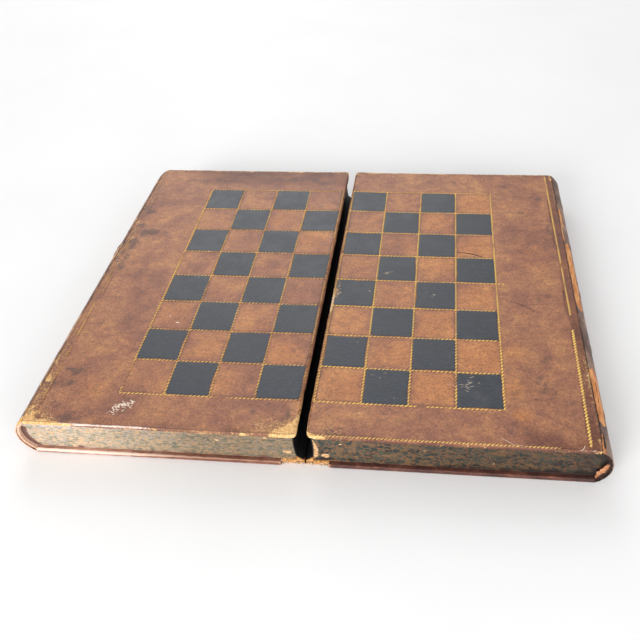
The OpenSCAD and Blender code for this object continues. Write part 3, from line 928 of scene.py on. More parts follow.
def make_gold(side):
    """Rope roll lines of the chequer grid and the borders."""
    x0, seed = GRID_X[side], pick(side, 100, 200)
    keep, tone = pick(side, (0.80, 0.44), (0.88, 0.61))
    x1 = x0 + COLUMNS * SQUARE
    parts = []
    for c in range(COLUMNS + 1):
        x = x0 + c * SQUARE
        near_fold = abs(x) < 20
        bright = 0.05 - 0.12 * near_fold + 0.1 * (abs(x) > 150)
        parts += rope((x, GRID_BACK + 0.6), (x, GRID_FRONT - 0.6), GRID_WIDTH, GRID_PITCH, seed + c,
                      keep - 0.12 * near_fold, tone + bright, lean=-1)
    for r in range(ROWS + 1):
        y = GRID_BACK - r * SQUARE
        over = 9 if side == "right" and r == 4 else 0.8
        parts += rope((x0 - 0.8, y), (x1 + over, y), GRID_WIDTH * 0.92, GRID_PITCH, seed + 20 + r,
                      keep - 0.04, tone + 0.1 * (r == ROWS))
    for start, end, width, *rest in BORDERS[side]:
        parts += rope(start, end, width, BORDER_PITCH, *rest)
    points, faces, values = joined(parts)
    fit(mesh_piece("gold_tooling_" + side, points, faces, GOLD, values), side, "calf_leather")


# Spines

JOINT_ANGLE = math.acos((JOINT_X - SPINE_X) / SPINE_R)
SPINE_T, LINER_T, HEAD_REACH = 1.2, 2.2, 26
# Slivers along the right joint (y from, y to, arc from, arc to): leather split off to the core
SLIVERS = [(92, 127, 1.6, 5.0), (66, 92, 0.6, 1.8), (-33, 68, 1.4, 11.5), (-163, -103, 0.4, 12.8),
           (-194, -172, -0.5, 3.4)]
# Cracks (y from, y to, arc, width)
CRACKS = {
    "right": [(-44, 68, 0.7, 0.8), (-112, -52, 0.7, 0.6), (-184, -150, 1.2, 0.7), (-150, -112, 7.2, 0.4),
              (-152, -98, 0.0, 0.9), (60, 188, 0.4, 0.5), (-168, -108, 0.6, 1.2), (-190, -168, 3.6, 0.9)],
    "left": [(62, 84, 4.5, 1.1), (88, 118, 2.2, 0.6), (120, 150, 3.4, 0.4), (-60, 40, 0.5, 0.5),
             (-150, -96, 0.8, 0.5), (40, 62, 1.6, 0.7)],
}


def round_spine(radius, angle, y):
    """Points at a radius and angle round the spine's axis."""
    return xyz(SPINE_X + radius * np.cos(angle), y, SPINE_Z + radius * np.sin(angle))


def band_rise(side, y, z):
    """How far the raised bands push the spine's leather out; the left one has a torn bulge too."""
    first = BAND_LOW[1] + BAND_W / 2
    gap = -2 * first / (BANDS - 1)
    rise = np.zeros(np.shape(y))
    reach = smooth(BAND_HIGH[2] - SPINE_Z - 1.4, 0.0, np.abs(z - SPINE_Z))
    for k in range(BANDS):
        across = smooth(BAND_W / 2 + 1.4, BAND_W / 2 - 1.3, np.abs(y - (first + k * gap)))
        rise = np.maximum(rise, across * reach * pick(side, 0.7, 0.45))
    if side == "left":
        bulge = smooth(15, 3, np.abs(y - 47 + 0.5 * (z - SPINE_Z)))
        bulge = bulge * smooth(17.5, 9, np.abs(z - SPINE_Z - 5))
        rise = np.maximum(rise, bulge * (0.85 + 0.35 * FIBRE(y, z, 5, 3)))
    return BAND_H * 0.93 * np.clip(rise, 0, 1)


def sliver_masks(side, arc, y):
    """Tan core and cracks over a spine; arc is the way round from the joint on top."""
    tan, crack_and_shade = np.zeros(np.shape(y)), np.zeros(np.shape(y))
    for y0, y1, a0, a1 in pick(side, [], SLIVERS):
        wobble = 0.7 * FIBRE(y, a0 * 9, 9, 3)
        taper = 3 + 0.04 * (y1 - y0)
        ends = np.minimum(smooth(y0, y0 + taper, y), smooth(y1, y1 - taper, y))
        middle, half = (a0 + a1) / 2, (a1 - a0) / 2 * (0.25 + 0.75 * ends)
        tan = np.maximum(tan, smooth(1.25, 0.75, np.abs(arc - middle - wobble) / half) * (ends > 0))
    for y0, y1, a0, width in CRACKS[side]:
        wobble = 0.5 * FIBRE(y, 40 + a0 * 7, 7, 3)
        ends = np.minimum(smooth(y0, y0 + 8, y), smooth(y1, y1 - 8, y))
        crack_and_shade = np.maximum(crack_and_shade, smooth(1.6, 0.6, np.abs(arc - a0 - wobble) / width) * ends)
    return tan, crack_and_shade


def worn_head(side, angle):
    """How far the back end of a spine is worn off at an angle round it."""
    top, deep = pick(side, (4.0, 7.5), (0.5, 2.5))
    upper = np.where(angle > 0, top, 1.0) * smooth(-0.3, 0.3, angle)
    return upper + deep * np.exp(-((angle - 0.7) / 0.4) ** 2)


def make_spine(side):
    """Round leather back over raised bands, as one closed skin."""
    sign = SIDES[side]
    span = 2 * JOINT_ANGLE * SPINE_R
    arcs = np.concatenate([np.arange(0, 11, 0.55), np.linspace(11, span - 8, 18),
                           np.linspace(span - 6.5, span, 7)])
    ys = steps(-COVER_Y, COVER_Y, 0.8, 1.6, 8)
    arc, y = lattice(arcs, ys)
    angle = JOINT_ANGLE - arc / SPINE_R
    z0 = SPINE_Z + SPINE_R * np.sin(angle)
    rise = band_rise(side, y, z0)
    tan, crack_and_shade = sliver_masks(side, arc, y)
    lip = 0.45 * (smooth(1.0, 0.0, arc) + smooth(span - 1.0, span, arc))
    r = SPINE_R - lip - 0.35 * tan - 0.5 * crack_and_shade + 0.12 * WAVE(arc * 2, y, 16, 3)
    r = r + rise - 0.1
    r = r + 0.15 * tan * FIBRE(arc * 6, y, 9, 3)
    worn_end = 0.7 * (1 + EDGE(arc * 3, 12.0, 5, 3)) * 0.5
    at_back, at_front = near(COVER_Y - y, HEAD_REACH), near(y + COVER_Y, 10)
    y_out = y - (worn_end + worn_head(side, angle)) * at_back ** 2 + worn_end * at_front ** 2
    outer = round_spine(r, angle, y_out)
    inner = round_spine(SPINE_R - SPINE_T + 0.05, angle, y_out)
    n, loop = len(y), border(len(arcs), len(ys))
    ends = []
    for share in (0.3, 0.7):
        edge = outer[loop] * (1 - share) + inner[loop] * share
        edge[:, 1] += np.sign(edge[:, 1]) * 0.35 * (np.abs(y[loop]) > COVER_Y - 0.01) * 0.8
        ends.append(edge)
    points = np.vstack([outer, inner] + ends)
    points[:, 1] = np.clip(points[:, 1], -COVER_Y, COVER_Y)
    points[:, 0] *= sign
    pale = 0.35 * rise * (0.6 + 0.5 * WORN(arc * 3, y, 12, 2))
    # Pale front end: worn leather with a painted highlight, stronger on the left spine
    pale = pale + pick(side, 1.1, 0.35) * smooth(5, 0, COVER_Y - np.abs(y)) * smooth(190.0, 186, y)
    if side == "left":
        low_front = smooth(-180, -190, y)
        tan = np.maximum(tan, 1.2 * low_front * smooth(9, 3, arc))
        # Left spine: paler still at the lower front end, worn with a painted highlight
        pale = pale + 1.8 * low_front
        tan = np.maximum(tan, 0.6 * smooth(0.1, 0.7, BLOT(arc * 3, y, 7, 3)) * smooth(14, 9, arc))
    masks = {}
    for key, value, inside in (("tan", tan, 0), ("crack_and_shade", crack_and_shade, 0), ("pale", np.clip(pale, 0, 1.2), 0.4)):
        masks[key] = np.concatenate([value, value * inside, value[loop], value[loop]])
    # Painted shade: the right spine's inside and end faces darkened near black
    if side == "right":
        masks["crack_and_shade"][n:] = np.maximum(masks["crack_and_shade"][n:], 0.55)
    faces = shell_faces(len(arcs), len(ys), sign > 0, between=2)
    piece = mesh_piece("spine_" + side, points, faces, SPINE[side], masks)
    fit(piece, side, "spine_leather", "spine_leather_" + side, "spine_bands_" + side)


def make_liner(side):
    """Raw inner layers of the spine: a fibrous ring whose ends are torn."""
    sign = SIDES[side]
    y_end = box_mm("spine_liner_" + side)[1][1]
    outer_r, inner_r = SPINE_R - SPINE_T - 0.02, SPINE_R - SPINE_T - 2.18
    limit, inner_limit = (math.acos((JOINT_X - SPINE_X) / r) for r in (outer_r, inner_r))
    angles, ys = np.linspace(limit, -limit, 56), steps(-y_end, y_end, 0.7, 12, 3)
    a, y = lattice(angles, ys)
    torn = pick(side, 0.4, 1.4) * (0.5 + 0.5 * FIBRE(a * 40, np.sign(y) * 30, 3, 3))
    at_end = near(y_end - np.abs(y), 3)
    y_out = y - np.sign(y) * torn * at_end
    y_out = y_out - np.where(y > 0, worn_head(side, a), 0) * near(y_end - y, HEAD_REACH) ** 2
    split = 0.35 * np.abs(FIBRE(a * 22, y * 0.5, 4, 2))
    wedge = pick(side, 0.0, 5.0 * smooth(0.4, -0.3, a) * smooth(-1.35, -1.0, a))
    outer = round_spine(outer_r, a, y_out)
    inner = round_spine(inner_r + (split - wedge) * at_end, np.clip(a, -inner_limit, inner_limit),
                        y_out + np.sign(y) * 0.3 * at_end * FIBRE(a * 70, 9.0, 3, 2))
    inner[:, 0] = np.maximum(inner[:, 0], JOINT_X)
    loop = border(len(angles), len(ys))
    middle = (outer[loop] + inner[loop]) / 2
    jag = pick(side, 0.15, 0.5) * FIBRE(a[loop] * 55, 3.0, 3, 3) * (np.abs(y[loop]) > y_end - 0.01)
    middle[:, 1] += np.sign(middle[:, 1]) * jag
    points = np.vstack([outer, inner, middle])
    points[:, 1] = np.clip(points[:, 1], -y_end, y_end)
    points[:, 0] *= sign
    # Painted shade: the left ring darkened inside away from its ends; the right ring darkened on its outer
    # layer and in its upper half
    if side == "left":
        soot_and_shade = np.clip(0.4 + 0.3 * FIBRE(a * 9, 2.0, 3, 2), 0, 1) * smooth(0.6, 5, y_end - np.abs(y))
        layers = (0.0 * soot_and_shade, soot_and_shade, (0.2 * soot_and_shade)[loop])
    else:
        soot_and_shade = np.clip(smooth(0.0, 0.3, a + 0.15 * FIBRE(a * 9, 2.0, 3, 2)), 0, 1)
        layers = (np.ones_like(soot_and_shade), soot_and_shade, np.maximum(soot_and_shade, 0.38)[loop])
    faces = shell_faces(len(angles), len(ys), sign > 0, between=1)
    piece = mesh_piece("spine_liner_torn_" + side, points, faces, TAN[side],
                       {"soot_and_shade": np.concatenate(layers)})
    fit(piece, side, "tan_liner", "spine_liner_" + side)


# Page edges

PAGE_FOLD, HOLLOW, HOLLOW_Z, HOLLOW_HALF = 7.2, 0.9, 23.4, 13.9
# Torn places in the paper (x, z, reach in x, reach in z, strength)
PAPER_TEARS = {
    ("right", "front"): [(9.0, 18, 2.3, 9, 1.4), (17, 11, 3.4, 2.4, 1.3), (30, 27, 1.6, 1.2, .9),
                         (96, 24, 2.2, 1.0, .8), (150, 12, 2.0, 1.2, .7)],
    ("left", "front"): [(-14, 13, 5, 2.4, .9), (-30, 30, 2.5, 1.5, .8), (-70, 24, 4, 1.4, .7),
                        (-120, 20, 5, 1.2, .6)],
}


def page_outline(z):
    """Fold end and spine end of the page block's front at height z."""
    fold = PAGE_FOLD + HOLLOW * np.clip(1 - ((z - HOLLOW_Z) / HOLLOW_HALF) ** 2, 0, 1)
    inner_r = SPINE_R - SPINE_T - LINER_T
    spine = SPINE_X + np.sqrt(np.clip(inner_r ** 2 - (z - SPINE_Z) ** 2, 0, None))
    return fold, np.maximum(spine, JOINT_X - 0.2)


def make_page_edge(side, end):
    """Marbled paper over the wood, with soiled rims, painted shade under the cover and at the spine end,
    and a few torn places.
    """
    sign, face = SIDES[side], (-1 if end == "front" else 1)
    low, high = box_mm(f"{end}_page_edge_{side}")
    y_in, y_out = sorted((abs(low[1]), abs(high[1])))
    ts, zs = np.linspace(0, 1, 150), np.linspace(low[2], high[2], 26)
    t, z = lattice(ts, zs)
    fold, spine = page_outline(z)
    u = fold + (spine - fold) * t
    x, to_spine, seed = sign * u, spine - u, pick(side, 5.0, 15.0)
    torn = spots(x, z, PAPER_TEARS.get((side, end), []))
    torn = torn + pick(side, 0.1, 0.5) * smooth(1.3, 0.1, t * 220) * (1 + EDGE(z, seed, 3, 2))
    torn = np.clip(torn, 0, 1.2)
    soil_and_shade = 0.75 * smooth(6.0, 0.8, z - low[2]) * (0.6 + 0.6 * EDGE(x, seed + 4, 9, 3))
    # Painted shadow under the cover's overhang, along the top
    soil_and_shade = soil_and_shade + 0.3 * smooth(1.2, 0, high[2] - z)
    at_spine = EDGE(z, seed + 8, 4, 2)
    # Darker towards the spine end: dirt and painted shade of the recess
    soil_and_shade = soil_and_shade + pick(side, 0.3, 0.6) * smooth(14, 2, to_spine) * (0.5 + 0.5 * at_spine)
    # Dust and painted sheen along the top
    dust_and_sheen = pick(side, 0.9, 0.5) * smooth(9, 1, high[2] - z) * (0.75 + 0.4 * EDGE(x, seed + 14, 15, 3))
    if side == "left":
        # Painted shade of the recess at the left spine end
        soil_and_shade = soil_and_shade + 1.4 * smooth(5.8, 3.4, to_spine + 0.6 * at_spine) * smooth(31.5, 26, z)
        # More dust and painted sheen towards the left sheet's outer end
        dust_and_sheen = dust_and_sheen + 0.3 * smooth(70, 200, u)
        # Painted light falloff: the left sheet darker towards the fold
        painted_light = smooth(60, 200, u)
    else:
        # Painted shade: the right sheet darker towards its spine end
        soil_and_shade = soil_and_shade + 0.75 * smooth(110, 210, u) * (0.6 + 0.6 * EDGE(x, z, 6, 3))
        soil_and_shade = soil_and_shade + spots(x, z, [(14.5, 13, 2.2, 7, .9), (20, 8, 8, 2.4, .8)])
        # Painted light falloff: the right sheet darker away from the fold
        painted_light = 0.9 * smooth(160, 10, u)
    relief = 0.10 * WAVE(x, z * 3, 14, 3) - 0.3 * (torn > 0.5)
    y_face = np.maximum(y_out - 0.12 + relief, y_in + 0.06)
    points = np.vstack([xyz(x, face * np.minimum(y_face, y_out), z), xyz(x, face * y_in, z)])
    masks = {"dust_and_sheen": np.clip(dust_and_sheen, 0, 1), "soil_and_shade": np.clip(soil_and_shade, 0, 1.1), "torn": torn, "painted_light": painted_light}
    piece = mesh_piece(f"marbled_{end}_{side}", points, shell_faces(len(ts), len(zs), sign * face < 0),
                       MARBLE[side], {key: np.tile(value, 2) for key, value in masks.items()})
    fit(piece, side, "marbled_paper", f"{end}_page_edge_{side}")


# Swept pieces

def offset_polygon(section, inset):
    """A polygon pulled in along its own normals."""
    p = np.asarray(section, float)
    t = np.roll(p, -1, 0) - np.roll(p, 1, 0)
    t /= np.linalg.norm(t, axis=1)[:, None]
    area = np.sum(p[:, 0] * np.roll(p[:, 1], -1) - np.roll(p[:, 0], -1) * p[:, 1])
    return p + np.stack([-t[:, 1], t[:, 0]], 1) * (1 if area > 0 else -1) * inset


def dense_polygon(corners, radius, step):
    """A polygon with rounded corners and points about step apart."""
    corners = [np.array(c, float) for c in corners]
    n, out = len(corners), []

    def cut(k):
        """Where the rounding of corner k starts and ends."""
        a, b, c = (corners[i % n] for i in (k - 1, k, k + 1))
        to_a, to_c = np.linalg.norm(a - b), np.linalg.norm(c - b)
        r = min(radius, 0.45 * to_a, 0.45 * to_c)
        return b + (a - b) / to_a * r, b + (c - b) / to_c * r

    for k, corner in enumerate(corners):
        (start, end), stop = cut(k), cut(k + 1)[0]
        out += [(1 - t) ** 2 * start + 2 * t * (1 - t) * corner + t ** 2 * end
                for t in (0.0, 0.25, 0.5, 0.75, 1.0)]
        pieces = int(np.linalg.norm(stop - end) / step)
        out += [end + (stop - end) * j / pieces for j in range(1, pieces)]
    return np.array(out)


def swept(section, low, high, step, radius, wear):
    """Rings of the section from low to high with rounded ends; wear(ring, t) moves a ring's points."""
    turn = [(radius * inset, radius * back) for inset, back in ((1, 0), (0.45, 0.15), (0.12, 0.5))]
    rings = [(low + back, inset) for inset, back in turn]
    rings += [(t, 0.0) for t in np.linspace(low + radius, high - radius, max(2, int((high - low) / step)))]
    rings += [(high - back, inset) for inset, back in turn[::-1]]
    points, loops, m = [], [], len(section)
    for k, (t, inset) in enumerate(rings):
        ring = offset_polygon(section, inset) if inset else np.asarray(section, float)
        points.append(np.column_stack([ring, np.full(m, t)]) + wear(ring, t))
        loops.append(list(range(k * m, (k + 1) * m)))
    faces = [q for a, b in zip(loops, loops[1:]) for q in ring_faces(a, b)]
    return np.vstack(points), faces + [loops[0][::-1], loops[-1]]


def rectangle(x0, x1, z0, z1):
    return [(x0, z0), (x1, z0), (x1, z1), (x0, z1)]


def rub_wear(seed, amount=0.12):
    """Small worn dents along a swept piece."""
    def wear(ring, t):
        dent = amount * EDGE(t + ring[:, 0], seed + ring[:, 1], 5, 3)
        way = ring - ring.mean(0)
        way = way / np.maximum(np.linalg.norm(way, axis=1)[:, None], 1e-6)
        return np.column_stack([-np.abs(dent)[:, None] * way, np.zeros(len(ring))])
    return wear


def make_rims(side):
    """Leather-covered boards round the tray's mouth, with rubbed round edges that carry a painted
    highlight.
    """
    for k, name in enumerate(("rim_front", "rim_back", "rim_spine")):
        node = f"{name}_{side}"
        low, high = box_mm(node)
        along = 1 if name == "rim_spine" else 0
        other = 1 - along
        section = dense_polygon(rectangle(low[other], high[other], low[2], high[2]), 1.1, 1.3)
        end_r = 0.05 if along else 0.6
        points, faces = swept(section, low[along], high[along], 2.5, end_r, rub_wear(7.0 + 9 * k))
        p = np.empty_like(points)
        p[:, other], p[:, 2], p[:, along] = points.T
        if other == 1:
            faces = [q[::-1] for q in faces]
        p = np.clip(p, low, high)
        u, z = np.abs(p[:, 0]), p[:, 2]
        lip = np.minimum(np.abs(z - low[2]), np.abs(z - high[2]))
        out = np.abs(np.abs(p[:, 1]) - COVER_Y)
        # Rubbed edges with a painted highlight along them, stronger on the left board
        rub = pick(side, 0.6, 0.3) * smooth(1.5, 0.2, lip) * smooth(2.5, 0.3, out)
        rub = rub * (1.1 + 0.35 * EDGE(p[:, 0], 3.0 + k, 11, 3)) * np.where(z > low[2] + 2, 1.25, 0.6)
        rub = rub + 0.5 * smooth(4, 0, np.abs(u - 20)) * smooth(3, 0, out)
        soil_and_shade = np.full(len(p), 0.2)
        if side == "left":
            # Painted highlight on the left rim's front face, fading out towards the fold
            rub = rub + 0.8 * smooth(1.4, 0.6, out) * smooth(1.0, 2.0, z - low[2]) * smooth(100, 160, u)
            # Painted shade: the left board darker towards the fold
            soil_and_shade = smooth(190, 70, u)
        masks = {"rub": np.clip(rub, 0, 1), "soil_and_shade": soil_and_shade}
        rim = mesh_piece(node.replace("rim", "rim_board"), p, faces, RIM[side], masks)
        fit(rim, side, "rim_leather", node)


RAIL_FOOT, RAIL_BACK, RAIL_NOSE = 4.4, 7.2, 3.8


def make_rail(side):
    """Leather-covered rail along the fold, its ends worn to the tan."""
    sign = SIDES[side]
    low, high = box_mm("hinge_rail_" + side)
    u0, u1 = sorted((abs(low[0]), abs(high[0])))
    sill = low[2] + 0.5
    sections = (rectangle(u0, u1, low[2], RAIL_FOOT),
                [(u0, sill), (RAIL_BACK, sill), (RAIL_BACK, high[2]), (u0, RAIL_NOSE)])
    wear = rub_wear(31.0, 0.1)
    parts = [swept(dense_polygon(corners, 0.5, 1.2), low[1], high[1], 2.2, 0.5, wear) + ({},)
             for corners in sections]
    points, faces, _ = joined(parts)
    p = xyz(sign * np.maximum(np.abs(points[:, 0]), u0), np.clip(points[:, 2], low[1], high[1]),
            np.maximum(points[:, 1], low[2]))
    if sign > 0:
        faces = [q[::-1] for q in faces]
    end = high[1] - np.abs(p[:, 1])
    # Dark away from the worn ends and on the upper part near them; tan at the ends
    soot_and_shade = 1.1 * smooth(2.5, 6, end) + smooth(3.4, 5.4, p[:, 2]) * smooth(1.4, 2.2, end)
    fit(mesh_piece("hinge_rail_worn_" + side, p, faces, STRIP, {"soot_and_shade": np.clip(soot_and_shade, 0, 1)}), side,
        "tan_liner", "hinge_rail_" + side)


def make_strip():
    """One leather strip across the fold, dipping a little at the middle."""
    reach, y_end, top = box_mm("hinge_strip_right")[1]
    xs = np.concatenate([np.linspace(-reach, -2, 14), np.linspace(-1.6, 1.6, 17),
                         np.linspace(2, reach, 14)])
    ys = steps(-y_end, y_end, 0.8, 4, 5)
    x, y = lattice(xs, ys)
    end, u = y_end - np.abs(y), np.abs(x)
    fray = 1.1 * (0.5 + 0.5 * EDGE(x, np.sign(y) * 5 + 20, 1.6, 3)) * near(end, 3)
    y_out = y - np.sign(y) * fray
    dip = 0.45 * smooth(1.4, 0.0, u)
    upper = xyz(x, y_out, top - 0.05 - dip + 0.06 * WAVE(x * 4, y, 9, 2))
    lower = xyz(x, y_out, 0.02 + 0.05 * np.abs(WAVE(x * 3, y, 11, 2)) * smooth(0.5, 2, u))
    loop = border(len(xs), len(ys))
    middle = (upper[loop] + lower[loop]) / 2
    middle[:, 1] += np.sign(middle[:, 1]) * 0.25 * EDGE(x[loop], 77.0, 1.2, 2) * (end[loop] < 0.01)
    points = np.vstack([upper, lower, middle])
    points[:, 1] = np.clip(points[:, 1], -y_end, y_end)
    # Dark away from the frayed ends, with painted shade in the crease at the middle
    soot_and_shade = np.clip(smooth(3, 9, end) + 1.0 * smooth(1.2, 0.2, u), 0, 1)
    faces = shell_faces(len(xs), len(ys), False, between=1)
    strip = mesh_piece("hinge_strip_leather", points, faces, STRIP,
                       {"soot_and_shade": np.concatenate([soot_and_shade, soot_and_shade, soot_and_shade[loop]])})
    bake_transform(strip)
    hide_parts("hinge_strip_left", "hinge_strip_right")


# Scratches and torn fibres

def curve(a, b, bend, n=9):
    """Points from a to b, bowed sideways by bend."""
    a, b = np.array(a, float), np.array(b, float)
    side = np.array([-(b - a)[1], (b - a)[0]]) / np.linalg.norm(b - a)
    t = np.linspace(0, 1, n)[:, None]
    return a + (b - a) * t + side * (bend * 4 * t * (1 - t))


def scatter(rng, cx, cy, reach, count, length, width, tone, surface=leather_surface):
    """A cluster of short fibres round a point."""
    parts = []
    for _ in range(count):
        x, y = cx + rng.normal(0, reach[0]), cy + rng.normal(0, reach[1])
        y = float(np.clip(y, 2.2 - COVER_Y, COVER_Y - 2.2))
        x = math.copysign(float(np.clip(abs(x), FOLD_X + 2.0, JOINT_X - 1.5)), cx)
        a = rng.uniform(-0.9, 0.9)
        d = np.array([math.cos(a), math.sin(a)]) * rng.uniform(0.4, 1.0) * length / 2
        path = curve((x - d[0], y - d[1]), (x + d[0], y + d[1]), rng.uniform(-0.3, 0.3), 6)
        wide = width * rng.uniform(0.6, 1.2)
        parts.append(ribbon(path, wide, float(np.clip(tone + rng.uniform(-0.15, 0.15), 0, 1)), surface))
    return parts


def fibre(start, end, width, tone):
    """A thin tapered fibre between two points in space."""
    a, b = np.array(start, float), np.array(end, float)
    way = (b - a) / np.linalg.norm(b - a)
    one = np.cross(way, (0.3, 0.1, 1.0))
    one /= np.linalg.norm(one)
    two = np.cross(way, one)
    ring = [one * math.cos(t) + two * math.sin(t) for t in (0, 2.09, 4.19)]
    base = [a + r * width / 2 for r in ring]
    waist = [(a + b) / 2 + one * 0.15 + r * width * 0.4 for r in ring]
    faces = ring_faces([0, 1, 2], [3, 4, 5]) + [[3, 4, 6], [4, 5, 6], [5, 3, 6], [2, 1, 0]]
    return np.array(base + waist + [b]), faces, {"tone": tone}


FRINGE_ROOT, FRINGE_EDGE = 187.6, 187.9


def hinge_fringe(side, rng, count=90):
    """Frayed leather at the front and back ends of the rail and the strip."""
    sign, parts = SIDES[side], []
    for k in range(count):
        face = -1 if k % 4 else 1
        x, z = sign * rng.uniform(1.2, 19.5), rng.uniform(0.5, 4.0)
        reach = rng.uniform(0.3, 1.4)
        tip_x = x + rng.normal(0, 1.1)
        tip_z = float(np.clip(z + rng.normal(0, 0.7), 0.15, 4.6))
        tip_x = sign * max(tip_x * sign, 0.5)
        parts.append(fibre((x, face * FRINGE_ROOT, z), (tip_x, face * (FRINGE_EDGE + reach), tip_z),
                           rng.uniform(0.6, 1.3), float(np.clip(rng.normal(0.62, 0.16), 0.3, 0.95))))
    return parts


# Single scratches: x and y of both ends, bend, points, width, tone, then surface and lift where unusual
# ON is the leather with its onlays, UPON the height of the onlays alone
ON, UPON = leather_surface, onlay_surface
SCRATCHES = {
    "left": [
        [(-143.9, -62.5, -142.6, -62.7, 0.2, 6, 1.8, 1.0),
         (-135.6, -70.2, -131.8, -71.0, 0.2, 8, 2.0, 0.95)],
        [(-205, -34, -199, -52, 1.2, 8, 0.5, 0.5), (-222, -86, -205, -104, -1.0, 10, 0.5, 0.5),
         (-214, -96, -208, -80, 0.8, 8, 0.5, 0.45), (-218, -112, -196, -120, 2.0, 10, 0.45, 0.45),
         (-200, 20, -192, 8, 0.6, 8, 0.4, 0.42)],
        [(-196, -176, -190, -166, 1.5, 9, 0.6, 0.5), (-207, -178, -198, -186, -2.5, 9, 0.6, 0.55),
         (-214, -184, -203, -181, 2.0, 9, 0.6, 0.5)]],
    "right": [
        [(118, 43.6, 150, 34.5, 2.6, 16, 1.7, 0.0, ON, 0.12),
         (122, 41.4, 146, 33.6, 2.6, 16, 0.9, 0.5, ON, 0.06),
         (166, -26, 193, -42.5, 2.0, 14, 0.8, 0.0, ON, 0.1),
         (176, -34, 199, -30, 1.0, 12, 0.5, 0.05, ON, 0.1),
         (49.5, 7.8, 60.5, 10.2, 0.4, 8, 0.7, 0.6, UPON), (51, 7.2, 55, 7.6, 0.2, 6, 0.8, 0.85, UPON),
         (37.2, -18.6, 39.6, -19.8, 0.1, 5, 0.9, 0.7, UPON),
         (98.2, -21.4, 100.6, -22.2, 0.2, 5, 1.1, 0.95, UPON),
         (97.0, -23.6, 97.8, -23.9, 0.1, 5, 0.7, 0.9, UPON),
         (211, -190.0, 215, -184.5, -0.9, 9, 0.7, 1.0),
         (152.5, -181.6, 163.5, -188.6, 0.4, 9, 0.6, 0.8),
         (160, -187.2, 173, -189.2, 0.3, 9, 0.7, 0.85)]],
}
# Clusters of fibres: x, y, reach, count, length, width, tone
TUFTS = {
    "left": [
        [(-156.5 + 12 * s, -175 + 12 * s + 2.5 * math.sin(5 * s), (2.0, 1.5), 6, 3.0, 1.3, 0.93)
         for s in np.linspace(0, 1, 12)],
        [(-217, -172, (5, 9), 36, 2.6, 0.5, 0.5), (-223, -140, (2.0, 18), 30, 3.0, 0.5, 0.42)],
        [(-26, -178, (9, 4.5), 46, 4.0, 0.5, 0.5), (-40, -187, (12, 1.0), 26, 2.2, 0.5, 0.5)]],
    "right": [
        [],
        [(128, -132, (6, 4), 16, 6, 0.4, 0.85, UPON), (7.4, -23, (1.6, 7), 60, 3.2, 0.8, 0.52),
         (4.4, -37, (0.7, 7), 60, 2.8, 1.1, 0.97), (4.8, -47, (0.8, 1.0), 6, 2.4, 0.8, 1.0),
         (60, -120, (6, 4), 10, 4, 0.5, 0.62), (20, -184, (7, 2.5), 20, 3.0, 0.4, 0.55),
         (80, -160, (50, 20), 14, 2.0, 0.4, 0.6)]],
}


def make_scuffs(side):
    """Scratches, flecks and lifted fibres where the photograph shows them."""
    rng = np.random.default_rng(pick(side, 77, 78))
    parts = []
    for tufts, scratches in zip_longest(TUFTS[side], SCRATCHES[side], fillvalue=()):
        for row in tufts:
            parts += scatter(rng, *row)
        for x0, y0, x1, y1, bend, n, width, tone, *rest in scratches:
            parts.append(ribbon(curve((x0, y0), (x1, y1), bend, n), width, tone, *(rest or [ON])))
    parts += hinge_fringe(side, rng)
    points, faces, values = joined(parts)
    fit(mesh_piece("scuffs_" + side, points, faces, SCUFF, values), side, "calf_leather")


# Build

for part_side in SIDES:
    make_cover(part_side)
    make_board(part_side)
    make_squares(part_side)
    make_gold(part_side)
    make_spine(part_side)
    make_liner(part_side)
    make_page_edge(part_side, "front")
    make_page_edge(part_side, "back")
    make_rims(part_side)
    make_rail(part_side)
    make_scuffs(part_side)
make_strip()

KEPT = {"tray_panel": WOOD, "front_wall": WOOD, "back_wall": WOOD, "fore_edge_wall": WOOD,
        "spine_block": WOOD, "fore_edge_leather": BLACK, "tray_lining": TRAY, "dark_points": DARK_POINT,
        "light_points": LIGHT_POINT}
for kept_name, kept_finish in KEPT.items():
    for part_side in SIDES:
        kept_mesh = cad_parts[f"{kept_name}_{part_side}"].data
        kept_mesh.materials.clear()
        kept_mesh.materials.append(kept_finish)


# Stage, light and camera

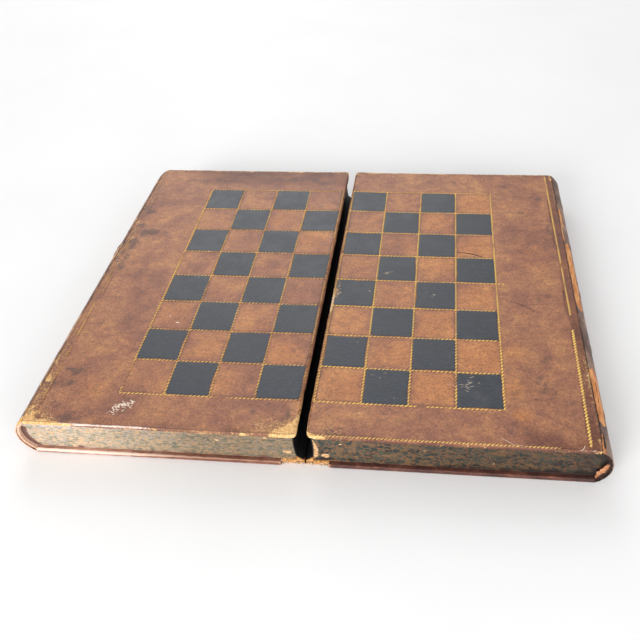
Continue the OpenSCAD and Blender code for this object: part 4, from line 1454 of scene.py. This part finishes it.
def make_stage():
    """A large pale floor just under the object."""
    half = 4.5
    mesh = bpy.data.meshes.new("floor")
    corners = [(-half, -half, 0), (half, -half, 0), (half, half, 0), (-half, half, 0)]
    mesh.from_pydata(corners, [], [(0, 1, 2, 3)])
    floor = placed("floor", mesh)
    floor.location.z = -0.0001
    f = Finish("pale_floor", roughness=0.55, specular=0.3)
    ramp = f.ramp(f.noise(6, 3), (0.3, 0.7), (0, 0, 0), (0, 0, 0))
    for element, level in zip(ramp.node.color_ramp.elements, (0.93, 0.96)):
        element.color = (level, level, level, 1)
    f.set(Base_Color=ramp)
    mesh.materials.append(f.material)


def area_light(name, place, target, size, power):
    light = bpy.data.lights.new(name, "AREA")
    light.shape, light.size, light.energy = "DISK", size, power
    lamp = placed(name, light)
    lamp.location = place
    lamp.visible_camera = False
    lamp.rotation_euler = (Vector(target) - lamp.location).to_track_quat("-Z", "Y").to_euler()


def make_light():
    """A pale room, a soft window from the front left and a bright wall behind."""
    world = bpy.data.worlds.new("studio")
    bpy.context.scene.world = world
    world.use_nodes = True
    back = world.node_tree.nodes["Background"]
    back.inputs["Color"].default_value = (1.0, 1.0, 1.0, 1)
    back.inputs["Strength"].default_value = 0.61
    area_light("key", (-1.4, -2.7, 1.1), (0, 0, 0.02), 1.6, 70)
    area_light("wall", (-0.8, 2.7, 2.0), (0, 0, 0.02), 2.6, 34)
    area_light("fill", (1.9, -2.4, 0.8), (0.3, -0.5, 0), 1.8, 30)


def make_camera():
    """The photograph's camera: fitted to the corners of the squares, the covers and the rims' ends."""
    lens_px, frame_px, centre_px = 689.7, 640.0, (366.3, 299.9)
    azimuth, elevation, roll = (math.radians(a) for a in (7.472, 42.154, -3.181))
    back = Vector((math.sin(azimuth) * math.cos(elevation), -math.cos(azimuth) * math.cos(elevation),
                   math.sin(elevation)))
    right = Vector((math.cos(azimuth), math.sin(azimuth), 0))
    up = back.cross(right)
    across = right * math.cos(roll) + up * math.sin(roll)
    upward = up * math.cos(roll) - right * math.sin(roll)
    data = bpy.data.cameras.new("camera")
    data.sensor_width = 36.0
    data.lens = lens_px / frame_px * data.sensor_width
    data.shift_x = (frame_px / 2 - centre_px[0]) / frame_px
    data.shift_y = (centre_px[1] - frame_px / 2) / frame_px
    camera = placed("camera", data)
    spin = Matrix((across, upward, back)).transposed().to_4x4()
    camera.matrix_world = Matrix.Translation(Vector((98.69, -505.32, 472.37)) * MM) @ spin
    bpy.context.scene.camera = camera


make_stage()
make_light()
make_camera()
bpy.context.scene.view_settings.view_transform = "Standard"
